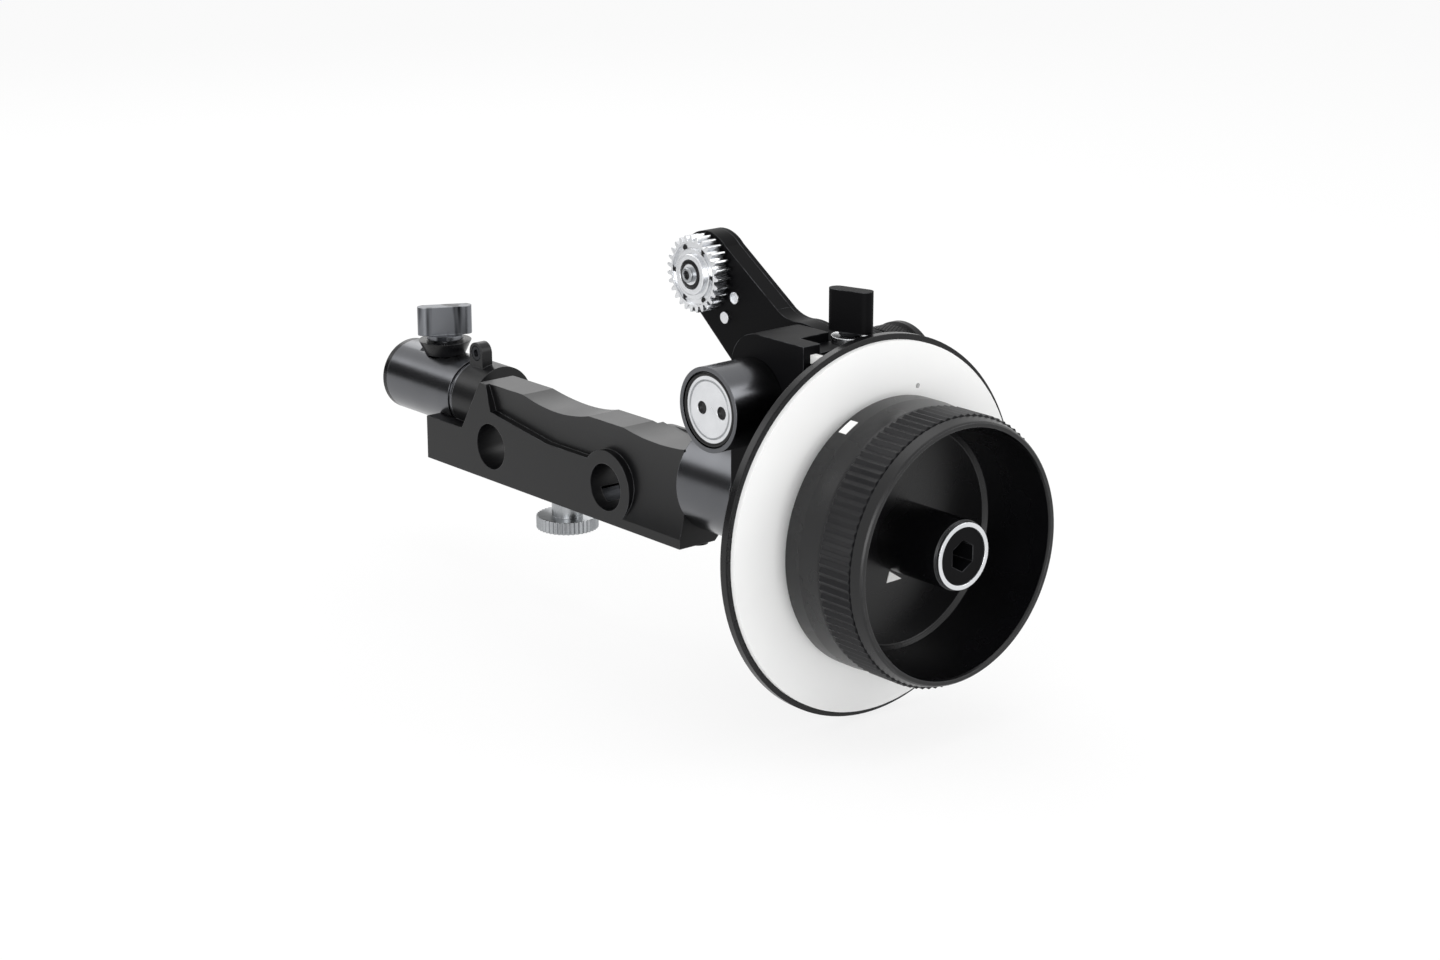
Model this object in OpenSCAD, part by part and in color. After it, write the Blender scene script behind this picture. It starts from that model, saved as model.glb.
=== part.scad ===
// Follow focus unit: a bridge bar for two support rods, a neck, a right-angle gearbox,
// a swing arm with a lens gear, and a hand-wheel with a marking disc.
// The origin is the centre of the rod bore nearest the hand-wheel, halfway through the bar.
// +X runs towards the hand-wheel, +Y along the rods and away from the drive port, +Z is up.

/* [Bridge bar] */
// Diameter of a support rod
rod_d = 15; // [13:0.5:15.5]
// Distance between the two support rods
rod_pitch = 60; // [56:1:72]
// Depth of the bar along the rods
bar_depth = 16; // [14:0.5:20]
// Height of the bar below the rod centres
bar_drop = 11.5; // [11:0.5:15]
// Height of the bar above the rod centres
bar_rise = 20.5; // [19.5:0.5:24]
// Length of the bar beyond the rod nearest the hand-wheel
bar_near = 36; // [32:1:44]
// Length of the bar beyond the far rod
bar_far = 36; // [34:1:44]
// Radius of the raised boss round a rod bore
rod_boss_r = 11.7; // [10:0.1:13]
// Depth of the sculpted pocket in the bar's front face
pocket_depth = 2.6; // [1:0.1:3]
// Height of the flat panel between the rods above the rod centres
panel_rise = 7.5; // [6:0.5:9]

/* [Far barrel] */
// Diameter of the clamp barrel
barrel_d = 24.3; // [22:0.1:27]
// Length of the clamp barrel beyond the bar
barrel_len = 30.7; // [28:0.1:38]
// Distance of the lever from the barrel's mouth
barrel_lever_in = 19.7; // [14:0.1:20]
// Width of the barrel lever's tab
barrel_tab_w = 18.4; // [12:0.2:22]
// Direction of the barrel lever's tab, from +X towards +Y
barrel_tab_turn = 63; // [0:1:180]
// Height of the barrel lever's tab
barrel_tab_h = 9.6; // [8:0.2:15]

/* [Rod clamp] */
// Diameter of the knurled clamp knob
clamp_knob_d = 20; // [16:0.5:24]
// Thickness of the clamp knob
clamp_knob_h = 4; // [3:0.5:6]
// Length of the bare neck between knob and bar
clamp_neck_h = 5.8; // [4:0.2:9]
// Diameter of the clamp screw
clamp_screw_d = 5; // [4:0.5:6]

/* [Neck and gearbox] */
// Offset of the hand-wheel's axis behind the middle of the bar
wheel_y = 8; // [7:0.5:9]
// Height of the hand-wheel's axis above the rod centres
wheel_z = 9; // [8.5:0.5:10]
// Outer diameter of the neck and of the gearbox barrel
neck_d = 34.4; // [33.6:0.1:37]
// Length of the neck between bar and gearbox
neck_len = 24; // [18:1:34]
// Length of the gearbox barrel
box_len = 38; // [38:0.5:44]
// Wall of the gearbox barrel
box_wall = 2.6; // [2.2:0.1:2.8]
// Gap between the bevel pinion and the hand-wheel's bearings
pinion_gap = 0.9; // [0.5:0.1:1.4]
// Width of the gearbox front cheek to the far side of the cross shafts
cheek_w = 10.4; // [9:0.1:14]
// Height of the front cheek above the upper shaft
cheek_rise = 19.2; // [16:0.2:20]
// Depth of the front cheek
cheek_depth = 17.4; // [15:0.2:22]
// Corner radius of the front cheek
cheek_corner = 11; // [6:0.5:12]
// Length of the drive port snout
snout_len = 17.5; // [10:0.5:22]
// Diameter of the drive port snout
snout_d = 24.8; // [24.4:0.2:28]
// Diameter of the silver drive port disc
port_d = 21.6; // [18:0.2:22]
// Depth of the gear case behind the arm
case_depth = 19.4; // [19.4:0.2:23]
// Diameter of the rear knob
rear_knob_d = 27; // [22:0.5:30]
// Length of the rear knob
rear_knob_len = 11; // [6:0.5:14]

/* [Gears] */
// Module of the gears in the gearbox
box_module = 0.8; // [0.78:0.005:0.82]
// Teeth of the lower and upper gearbox gears
box_teeth = 24; // [24:1:24]
// Teeth of the middle gearbox gear
middle_teeth = 21; // [21:1:21]
// Module of the gears in the arm
arm_module = 0.7; // [0.68:0.005:0.72]
// Teeth of each gear in the arm
arm_teeth = 24; // [24:1:24]
// Module of the lens gear
lens_module = 0.8; // [0.8:0.1:0.8]
// Teeth of the lens gear
lens_teeth = 27; // [25:1:30]
// Thickness of the lens gear
lens_gear_h = 5.2; // [4:0.2:5.2]
// Backlash of each gear pair
backlash = 0.16; // [0.12:0.02:0.24]

/* [Swing arm] */
// Angle of the arm above the far side's horizontal
arm_rise = 33.2; // [25:0.2:42]
// Thickness of the arm
arm_t = 7; // [6.4:0.1:7.4]
// Radius of the arm's hub
arm_hub_r = 19.6; // [18:0.1:20]
// Radius of the arm's free end
arm_end_r = 12.2; // [11.6:0.1:14]
// Radius of the fillet between hub and upper edge
arm_fillet = 14; // [8:1:18]
// Thickness of the arm's front wall and of its rear cover
arm_wall = 1.6; // [1.2:0.1:1.9]
// Gap between the arm and each cheek
arm_gap = 0.6; // [0.4:0.1:0.8]
// Width of the lock lever's tab
lock_tab_w = 13.8; // [10:0.2:16]
// Direction of the lock lever's tab, from +X towards +Y
lock_tab_turn = 17; // [0:1:180]
// Height of the lock lever's tab
lock_tab_h = 12.2; // [8:0.2:15]
// Thickness of both levers' tabs
tab_t = 5; // [4:0.2:7]

/* [Marking disc] */
// Diameter of the marking disc
disc_d = 109.2; // [98:0.2:118]
// Thickness of the marking disc
disc_t = 1.6; // [1:0.1:2.4]
// Thickness of its backing plate
backing_t = 2.4; // [1.8:0.1:4]
// Gap between the gearbox and the backing plate
disc_gap = 4; // [3.4:0.1:5]

/* [Hand-wheel] */
// Diameter of the hand-wheel's base
wheel_d = 79.5; // [76:0.5:88]
// Diameter of the hand-wheel's lip
lip_d = 76; // [70:0.5:76]
// Length of the hand-wheel in front of the marking disc
wheel_len = 33; // [30:0.5:40]
// Gap between the marking disc and the hand-wheel's base
wheel_gap = 3.5; // [1:0.1:4]
// Depth of the cup
cup_depth = 23; // [18:0.5:24]
// Diameter of the cup's floor
floor_d = 66; // [60:0.5:68]
// Wall of the cup at the lip
lip_wall = 2; // [1.6:0.1:3]
// Width of the ribbed grip ring
grip_w = 12; // [6:0.5:14]
// Ribs on the grip ring
grip_ribs = 96; // [60:4:120]
// Diameter of the hub in the cup
hub_d = 20.4; // [18:0.2:24]
// Width across the flats of the crank socket
socket_af = 8; // [6:0.5:9]

/* [Hidden] */
$fn = 96;
fit = 0.05;
seat = 0.02;
eps = 0.01;

rod_r = rod_d / 2;
bore_r = rod_r + fit;
bar_front = -bar_depth / 2;
bar_back = bar_depth / 2;
bar_x0 = -rod_pitch - bar_far;
bar_x1 = bar_near;

// the bar's end bosses lie on the hand-wheel's axis
barrel_r = barrel_d / 2;
boss_in = 9;
boss_len = 12;
boss_x0 = bar_x0 + boss_in;
boss_x1 = boss_x0 + boss_len;
barrel_x0 = bar_x0 - barrel_len;
barrel_neck_r = 10;
barrel_neck_len = 9;
socket_depth = 34.7;
shoulder_z = 3;
shoulder_in = 1;
shoulder_len = 10.5;
shoulder_x0 = boss_x1 - shoulder_in;
shoulder_x1 = shoulder_x0 + shoulder_len;
ear_r = 3.6;
ear_x = boss_x0 + 3.9;
ear_z = bar_rise + 4.5;
ear_y0 = 3.5;
ear_y1 = 7.5;
ear_screw_r = 1.4;
ear_head_r = 2.4;
pocket_r = 60;
pocket_z = 9;
spigot_r = 7.5;
spigot_in = 22;
near_boss_r = 10.5;
edge_chamfer = 3;

// far lever
lever_seat_z = wheel_z + barrel_r - 1.2;
barrel_lever_x = barrel_x0 + barrel_lever_in;
collar_r = 6.8;
collar_top_r = 8.9;
collar_h = 4.6;
stem_r = 4;
stem_gap = 0.15;
shoe_gap = 0.6;
shoe_travel = 0.5;
lever_base_r = 6.2;
lever_base_h = 1.4;

// rod clamp
clamp_x = -rod_pitch / 2;
shoe_y = 3.7;
shoe_top = -3.2;
shoe_bottom = -bar_drop + 2.9;
shoe_side_gap = 0.3;
clamp_travel = 0.6;
clamp_neck_r = 5;

// gearbox, along X
neck_r = neck_d / 2;
neck_x0 = bar_x1;
neck_x1 = neck_x0 + neck_len;
neck_core = 12;
neck_bore_r = 13;
box_x0 = neck_x1;
box_x1 = box_x0 + box_len;
box_in_r = neck_r - box_wall;
cheek_x1 = box_x1 - 0.5;

// pitch radii
box_r = box_module * box_teeth / 2;
middle_r = box_module * middle_teeth / 2;
arm_r = arm_module * arm_teeth / 2;
lens_r = lens_module * lens_teeth / 2;
pivot_z = wheel_z + 2 * box_r + 2 * middle_r;
middle_z = wheel_z + box_r + middle_r;
tooth_clear = 0.5;

// the cross shafts stand where the bevel pinion reaches the bearings
bearing_w = 4;
bearing_gap = 0.6;
bearing_in = 0.4;
pinion_hub = 1.4;
bearing_x1 = box_x1 - bearing_in;
bearing_x0 = bearing_x1 - 2 * bearing_w - bearing_gap;
shaft_x = bearing_x0 - pinion_gap - pinion_hub - box_r;

// gearbox, along Y: cheek, arm slot, gear case, rear cover
arm_y0 = wheel_y - 4;
arm_y1 = arm_y0 + arm_t;
cheek_y1 = arm_y0 - arm_gap;
cheek_y0 = cheek_y1 - cheek_depth;
case_y0 = arm_y1 + arm_gap;
case_y1 = case_y0 + case_depth;
case_cavity = 5;
case_floor = case_y1 - case_cavity;
case_r = box_r + box_module + 2.6;
case_top = pivot_z + case_r;
cover_t = 2.4;
cover_y1 = case_y1 + cover_t;
case_gear_h = 3.4;
case_gear_y0 = case_floor + 0.8;
case_gear_y1 = case_gear_y0 + case_gear_h;
cheek_top = pivot_z + cheek_rise;
cheek_x0 = shaft_x - cheek_w;
cheek_z0 = wheel_z + 4;

// shafts, bushes and bearings
shaft_r = 4;
lower_shaft_r = 3;
middle_pin_r = 2.5;
bush_r = 6;
lower_bush_r = 5;
bush_t = 5;
arm_bush_r = 6.5;
wheel_shaft_r = 5;
bearing_r = 13;

// bevel pair: both cones meet where the two axes cross
bevel_face = 4;
bevel_in = box_r - bevel_face;
bevel_hub_r = 6;
bevel_slim = 0.3;

// arm, in its own frame: u runs from the pivot to the lens gear; below the pivot it clears the barrel
neck_clear = pivot_z - wheel_z - neck_r - 0.4;
arm_span = 6 * arm_r;
arm_angle = 180 - arm_rise;
arm_edge = arm_end_r - 0.2;
arm_low_r = neck_clear - 0.6;
lens_x = shaft_x + arm_span * cos(arm_angle);
lens_z = pivot_z + arm_span * sin(arm_angle);
arm_gear_y0 = arm_y0 + arm_wall + 0.2;
arm_gear_y1 = arm_y1 - arm_wall - 0.2;
arm_pocket_r = arm_r + arm_module + tooth_clear;
idler_pin_r = 2;
pin_cap = 0.8;
spindle_r = 3;
lens_gap = 0.6;
lens_y1 = arm_y0 - lens_gap;
lens_y0 = lens_y1 - lens_gear_h;
arm_screw_u = arm_span - 14;
arm_screw_v = 1.7;
arm_screw_half = 4;

// arm lock
lock_edge = 3.8;
lock_half = 4.4;
lock_x = cheek_x1 - lock_edge;
lock_y = arm_y0 + arm_t / 2;
lock_recess = 3.4;
lock_plate_x0 = lock_x - lock_half;
lock_plate_t = 0.8;
lock_wall = 6.6;
lock_plate_y0 = cheek_y0 + lock_wall;
lock_plate_y1 = case_y0 + 0.8;
lock_plate_z = cheek_top - lock_recess;
lock_block_x0 = lock_plate_x0 - 0.2;
lock_collar_r = 5.6;
lock_collar_h = 2;
lock_base_r = 3.4;
lock_base_h = 0.6;
lock_block_rise = 6;
lock_stem_r = 3;
lock_shoe_r = 3;
lock_shoe_gap = 0.5;
lock_travel = 0.3;
lock_shoe_top = lock_plate_z;

// marking disc and hand-wheel, along X
backing_x0 = box_x1 + disc_gap;
backing_x1 = backing_x0 + backing_t;
disc_x0 = backing_x1;
disc_x1 = disc_x0 + disc_t;
disc_r = disc_d / 2;
backing_rim = 1.7;
backing_r = disc_r + backing_rim;
disc_hole_r = 30;
wheel_x0 = disc_x1 + wheel_gap;
wheel_x1 = disc_x1 + wheel_len;
floor_x = wheel_x1 - cup_depth;
wheel_r = wheel_d / 2;
lip_r = lip_d / 2;
floor_r = floor_d / 2;
grip_x0 = wheel_x0 + 14;
grip_x1 = grip_x0 + grip_w;
grip_depth = 1.2;
shaft_boss_r = 8;
shaft_flange_r = 11;
hub_r = hub_d / 2;
hub_ring_t = 1.4;
hub_x1 = wheel_x1 - 0.3;
hub_rim = 1.8;
hub_ring_in = 0.5;
hub_bore_r = hub_r - hub_rim;
socket_len = 9;
screw_head_r = 4.4;
screw_head_h = 2.6;
screw_r = 2;
mark_t = 0.25;
pilot_r = disc_hole_r - 0.4;

// ---- shared shapes ----

// a flat outline in X and Z, raised along Y from y0 to y1
module along_y(y0, y1) {
    translate([0, y1, 0])
        rotate([90, 0, 0])
            linear_extrude(y1 - y0)
                children();
}

// a flat outline whose x becomes Y and whose y becomes Z, raised along X from x0 to x1
module along_x(x0, x1) {
    translate([x0, 0, 0])
        rotate([90, 0, 90])
            linear_extrude(x1 - x0)
                children();
}

module rod_y(x, z, y0, y1, r) {
    translate([x, y1, z])
        rotate([90, 0, 0])
            cylinder(h = y1 - y0, r = r);
}

module rod_x(y, z, x0, x1, r) {
    translate([x0, y, z])
        rotate([0, 90, 0])
            cylinder(h = x1 - x0, r = r);
}

// a cylinder on the hand-wheel's axis
module on_wheel(x0, x1, r) {
    rod_x(wheel_y, wheel_z, x0, x1, r);
}

// a ring on the hand-wheel's axis
module wheel_ring(x0, x1, r_out, r_in) {
    difference() {
        on_wheel(x0, x1, r_out);
        on_wheel(x0 - eps, x1 + eps, r_in);
    }
}

// a ring round an axis along Y
module ring_y(x, z, y0, y1, r_out, r_in) {
    difference() {
        rod_y(x, z, y0, y1, r_out);
        rod_y(x, z, y0 - eps, y1 + eps, r_in);
    }
}

// a profile of [radius, x] points turned about the hand-wheel's axis
module turned(profile) {
    translate([0, wheel_y, wheel_z])
        rotate([0, 90, 0])
            rotate_extrude()
                polygon(profile);
}

// a round outline with v-shaped ribs
module ribbed(r, depth, count) {
    step = 360 / count;
    polygon([for (i = [0:count - 1], k = [0, 1])
        (r - k * depth) * [cos((i + k / 2) * step), sin((i + k / 2) * step)]]);
}

// ---- gears ----

function involute(a) = tan(a) * 180 / PI - a;

// half the angle that a tooth fills at radius r
function tooth_half(m, z, r, slim) =
    let(pitch = m * z / 2)
    let(base = pitch * cos(20))
    90 / z - slim / (2 * pitch) * 90 / PI + involute(20) - involute(acos(min(1, base / max(base, r))));

// radii of the points on a flank, from root to tip
function flank(m, z) =
    let(pitch = m * z / 2)
    let(base = pitch * cos(20))
    let(tip = pitch + 0.95 * m)
    [pitch - 1.2 * m, base, base + 0.3 * (tip - base), base + 0.65 * (tip - base), tip];

function gear_points(m, z, slim) =
    let(f = flank(m, z))
    let(n = len(f) - 1)
    [for (i = [0:z - 1], s = [-1, 1], k = [0:n])
        let(r = f[s < 0 ? k : n - k])
        let(a = i * 360 / z + s * tooth_half(m, z, r, slim))
        r * [cos(a), sin(a)]];

// a gear outline with the middle of one tooth at angle phase
module gear_outline(m, z, phase, slim = backlash) {
    rotate(phase)
        polygon(gear_points(m, z, slim));
}

// a spur gear about an axis along Y, with a round bore
module spur_y(x, z, y0, y1, m, teeth, phase, bore) {
    difference() {
        along_y(y0, y1)
            translate([x, z])
                gear_outline(m, teeth, phase);
        rod_y(x, z, y0 - eps, y1 + eps, bore);
    }
}

// the phase of a gear that meshes in direction dir with a gear of teeth z_a at phase_a
function mesh(dir, phase_a, z_a, z_b) =
    dir + 180 + 180 / z_b + (dir - phase_a) * z_a / z_b;

lower_phase = 90;
middle_phase = mesh(90, lower_phase, box_teeth, middle_teeth);
upper_phase = mesh(90, middle_phase, middle_teeth, box_teeth);
sun_phase = arm_angle;
idler_a_phase = mesh(arm_angle, sun_phase, arm_teeth, arm_teeth);
idler_b_phase = mesh(arm_angle, idler_a_phase, arm_teeth, arm_teeth);
spindle_phase = mesh(arm_angle, idler_b_phase, arm_teeth, arm_teeth);

// a bevel gear along +Z whose cone runs to a point at the origin
module bevel(phase, bore, hub_len) {
    difference() {
        union() {
            translate([0, 0, box_r])
                mirror([0, 0, 1])
                    linear_extrude(bevel_face, scale = bevel_in / box_r)
                        gear_outline(box_module, box_teeth, phase, backlash + bevel_slim);
            translate([0, 0, box_r - eps])
                cylinder(h = hub_len + eps, r = bevel_hub_r);
        }
        translate([0, 0, bevel_in - 1])
            cylinder(h = box_r + hub_len + 2, r = bore);
    }
}

// ---- bridge bar ----

module bar_outline() {
    polygon([[bar_x0, -bar_drop], [bar_x1, -bar_drop], [bar_x1, bar_rise],
             [shoulder_x1, bar_rise], [shoulder_x0, shoulder_z], [bar_x0, shoulder_z]]);
}

// the sculpted pocket leaves the bosses and the panel between them standing
module pocket_outline() {
    difference() {
        polygon([[-rod_pitch, rod_boss_r], [shoulder_x1 + 3, bar_rise + 1], [bar_x1 + 1, bar_rise + 1],
                 [bar_x1 + 1, -bar_drop - 1], [clamp_x, -bar_drop - 1], [clamp_x, panel_rise]]);
        circle(r = rod_boss_r);
        translate([-rod_pitch, 0])
            circle(r = rod_boss_r);
        translate([-rod_pitch, -bar_drop - 1])
            square([rod_pitch, bar_drop + 1 + panel_rise]);
    }
}

// a shallow scoop in the bar's top, of given depth and half width
module top_scoop(x, depth, half) {
    r = (half * half + depth * depth) / (2 * depth);
    rod_y(x, bar_rise - depth + r, bar_front - 1, bar_back + 1, r);
}

module bridge_bar() {
    color([0.09, 0.09, 0.1])
    difference() {
        union() {
            along_y(bar_front, bar_back)
                bar_outline();
            on_wheel(boss_x0, boss_x1, barrel_r);
            on_wheel(bar_x1 - spigot_in - 4, bar_x1, near_boss_r);
            rod_y(ear_x, ear_z, ear_y0, ear_y1, ear_r);
            translate([ear_x - ear_r, ear_y0, wheel_z + 2])
                cube([2 * ear_r, ear_y1 - ear_y0, ear_z - wheel_z - 2]);
        }
        // the pocket is a long hollow, deepest below the upper edge
        intersection() {
            along_y(bar_front - 1, bar_front + pocket_depth + 1)
                pocket_outline();
            rod_x(bar_front + pocket_depth - pocket_r, pocket_z, bar_x0, bar_x1 + 1, pocket_r);
        }
        // saddle under the clamp barrel
        on_wheel(bar_x0 - 1, boss_x0, barrel_r + fit);
        top_scoop(clamp_x + 3, 2.4, 17);
        top_scoop(bar_x1 - 12, 1.7, 17);
        // rear edges, top and bottom
        along_x(shoulder_x1 - 1, bar_x1 - spigot_in - 5)
            polygon([[bar_back - edge_chamfer, bar_rise + 1], [bar_back + 1, bar_rise + 1],
                     [bar_back + 1, bar_rise - edge_chamfer - 1], [bar_back, bar_rise - edge_chamfer - 1]]);
        along_x(bar_x0 - 1, bar_x1 + 1)
            polygon([[bar_back - edge_chamfer, -bar_drop - 1], [bar_back + 1, -bar_drop - 1],
                     [bar_back + 1, -bar_drop + edge_chamfer]]);
        for (x = [0, -rod_pitch])
            rod_y(x, 0, bar_front - 1, bar_back + 1, bore_r);
        on_wheel(boss_x0 - 1, boss_x0 + barrel_neck_len, barrel_neck_r + seat);
        on_wheel(bar_x1 - spigot_in, bar_x1 + 1, spigot_r + seat);
        rod_clamp_pocket();
        translate([clamp_x, 0, -bar_drop - 1])
            cylinder(h = bar_drop, r = clamp_screw_d / 2 + fit);
        rod_y(ear_x, ear_z, ear_y0 - 1, ear_y1 + 1, ear_screw_r + seat);
        rod_y(ear_x, ear_z, ear_y0 - 1, ear_y0 + 1.2, ear_head_r + 0.2);
        for (x = neck_screw_x)
            neck_screw_hole(x);
    }
}

// the pocket that the clamp shoe rises in opens into both rod bores
module rod_clamp_pocket() {
    translate([-rod_pitch + 4, -shoe_y - shoe_side_gap, shoe_bottom - 0.3])
        cube([rod_pitch - 8, 2 * (shoe_y + shoe_side_gap), shoe_top - shoe_bottom + 0.6 + clamp_travel]);
}

module rod_clamp_shoe() {
    color([0.62, 0.62, 0.65])
    difference() {
        translate([-rod_pitch + 4.4, -shoe_y, shoe_bottom])
            cube([rod_pitch - 8.8, 2 * shoe_y, shoe_top - shoe_bottom]);
        for (x = [0, -rod_pitch])
            rod_y(x, 0, -shoe_y - 1, shoe_y + 1, rod_r + clamp_travel + 0.2);
        translate([clamp_x, 0, shoe_bottom - 1])
            cylinder(h = 2 + shoe_top - shoe_bottom, r = clamp_screw_d / 2 + fit);
    }
}

clamp_neck_top = -bar_drop - 0.2;
clamp_knob_top = clamp_neck_top - clamp_neck_h;

module rod_clamp_knob() {
    color([0.78, 0.78, 0.8])
    translate([clamp_x, 0, 0]) {
        translate([0, 0, clamp_knob_top - clamp_knob_h])
            linear_extrude(clamp_knob_h)
                ribbed(clamp_knob_d / 2, 0.6, 40);
        translate([0, 0, clamp_knob_top - eps])
            cylinder(h = clamp_neck_h + eps, r = clamp_neck_r);
        translate([0, 0, clamp_neck_top - eps])
            cylinder(h = shoe_top - 0.4 - clamp_neck_top, r = clamp_screw_d / 2);
    }
}

// two screws under the bar's near end hold the spigot
neck_screw_r = 2;
neck_screw_head_r = 3.2;
neck_screw_head_h = 1.1;
neck_screw_x = [bar_x1 - 12, bar_x1 - 4.5];
neck_screw_y = 3;
neck_screw_top = wheel_z - sqrt(spigot_r * spigot_r - pow(wheel_y - neck_screw_y - neck_screw_r, 2)) - 0.2;

module neck_screw_hole(x) {
    translate([x, neck_screw_y, -bar_drop - 1])
        cylinder(h = neck_screw_top + bar_drop + 2, r = neck_screw_r + seat);
}

module neck_clamp_screws() {
    color([0.12, 0.12, 0.13])
    for (x = neck_screw_x)
        translate([x, neck_screw_y, 0])
            difference() {
                union() {
                    translate([0, 0, -bar_drop - neck_screw_head_h])
                        cylinder(h = neck_screw_head_h, r = neck_screw_head_r);
                    translate([0, 0, -bar_drop - eps])
                        cylinder(h = bar_drop + neck_screw_top, r = neck_screw_r);
                }
                translate([0, 0, -bar_drop - neck_screw_head_h - 1])
                    cylinder(h = 1.8, r = 1.4, $fn = 6);
            }
}

module ear_screw() {
    color([0.3, 0.3, 0.32])
    difference() {
        union() {
            rod_y(ear_x, ear_z, ear_y0 + 0.1, ear_y0 + 1.2 - seat, ear_head_r);
            rod_y(ear_x, ear_z, ear_y0 + 1, ear_y1 - 0.5, ear_screw_r);
        }
        rod_y(ear_x, ear_z, ear_y0 - 1, ear_y0 + 0.8, ear_head_r / 2);
    }
}

// ---- far barrel ----

module clamp_barrel() {
    color([0.3, 0.3, 0.32])
    difference() {
        union() {
            on_wheel(barrel_x0, boss_x0 - eps, barrel_r);
            on_wheel(boss_x0 - 1, boss_x0 + barrel_neck_len - 0.1, barrel_neck_r);
        }
        on_wheel(barrel_x0 - 1, barrel_x0 + socket_depth, bore_r);
        wheel_ring(barrel_x0 - 1, barrel_x0 + 1.6, barrel_r + 1, barrel_r - 1.2);
        wheel_ring(boss_x0 - 2.2, boss_x0 - 0.8, barrel_r + 1, barrel_r - 0.8);
        // flat for the collar, and the radial hole for stem and shoe
        translate([barrel_lever_x, wheel_y, lever_seat_z])
            cylinder(h = barrel_r, r = collar_top_r + 0.3);
        translate([barrel_lever_x, wheel_y, wheel_z])
            cylinder(h = barrel_r, r = stem_r + fit);
    }
}

module barrel_end_ring() {
    color([0.05, 0.05, 0.06])
    wheel_ring(barrel_x0 - 0.4, barrel_x0 + 1.6 - seat, barrel_r, barrel_r - 1.2 + seat);
}

module barrel_collar() {
    color([0.05, 0.05, 0.06])
    translate([barrel_lever_x, wheel_y, lever_seat_z + seat])
        difference() {
            cylinder(h = collar_h, r1 = collar_r, r2 = collar_top_r);
            translate([0, 0, -1])
                cylinder(h = collar_h + 2, r = stem_r + fit);
        }
}

// a flat tab with round ends on a round base, turned to its resting direction
module lever_tab(w, h, turn, base_r, base_h) {
    cylinder(h = base_h, r = base_r);
    rotate([0, 0, turn])
        translate([0, 0, base_h - eps]) {
            translate([-w / 2 + tab_t / 2, -tab_t / 2, 0])
                cube([w - tab_t, tab_t, h]);
            for (s = [-1, 1])
                translate([s * (w - tab_t) / 2, 0, 0])
                    cylinder(h = h, r = tab_t / 2);
        }
}

barrel_shoe_z = wheel_z + rod_r + shoe_gap;
barrel_stem_z = barrel_shoe_z + 2;
barrel_tab_z = lever_seat_z + collar_h + stem_gap + shoe_travel;

module barrel_lever() {
    color([0.1, 0.1, 0.11])
    translate([barrel_lever_x, wheel_y, 0]) {
        translate([0, 0, barrel_tab_z])
            lever_tab(barrel_tab_w, barrel_tab_h, barrel_tab_turn, lever_base_r, lever_base_h);
        translate([0, 0, barrel_stem_z + 0.05])
            cylinder(h = barrel_tab_z - barrel_stem_z, r = stem_r);
    }
}

module barrel_clamp_shoe() {
    color([0.72, 0.6, 0.35])
    translate([barrel_lever_x, wheel_y, barrel_shoe_z])
        cylinder(h = barrel_stem_z - barrel_shoe_z, r = stem_r - 0.05);
}

// ---- neck ----

module neck_tube() {
    color([0.1, 0.1, 0.11])
    difference() {
        on_wheel(neck_x0 + seat, neck_x1, neck_r);
        on_wheel(neck_x0 - 1, neck_x0 + neck_core + 1, spigot_r + seat);
        on_wheel(neck_x0 + neck_core, neck_x1 + 1, neck_bore_r);
    }
}

module neck_spigot() {
    color([0.6, 0.6, 0.62])
    on_wheel(bar_x1 - spigot_in + 0.1, neck_x0 + neck_core - 0.1, spigot_r);
}

// ---- gearbox ----

module cheek_outline() {
    difference() {
        translate([cheek_x0, cheek_z0])
            square([cheek_x1 - cheek_x0, cheek_top - cheek_z0]);
        difference() {
            translate([cheek_x0 - 1, cheek_top - cheek_corner])
                square([cheek_corner + 1, cheek_corner + 1]);
            translate([cheek_x0 + cheek_corner, cheek_top - cheek_corner])
                circle(r = cheek_corner);
        }
    }
}

module case_outline(r) {
    for (z = [wheel_z, pivot_z])
        translate([shaft_x, z])
            circle(r = r);
    translate([shaft_x - r, wheel_z])
        square([2 * r, pivot_z - wheel_z]);
}

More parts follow.
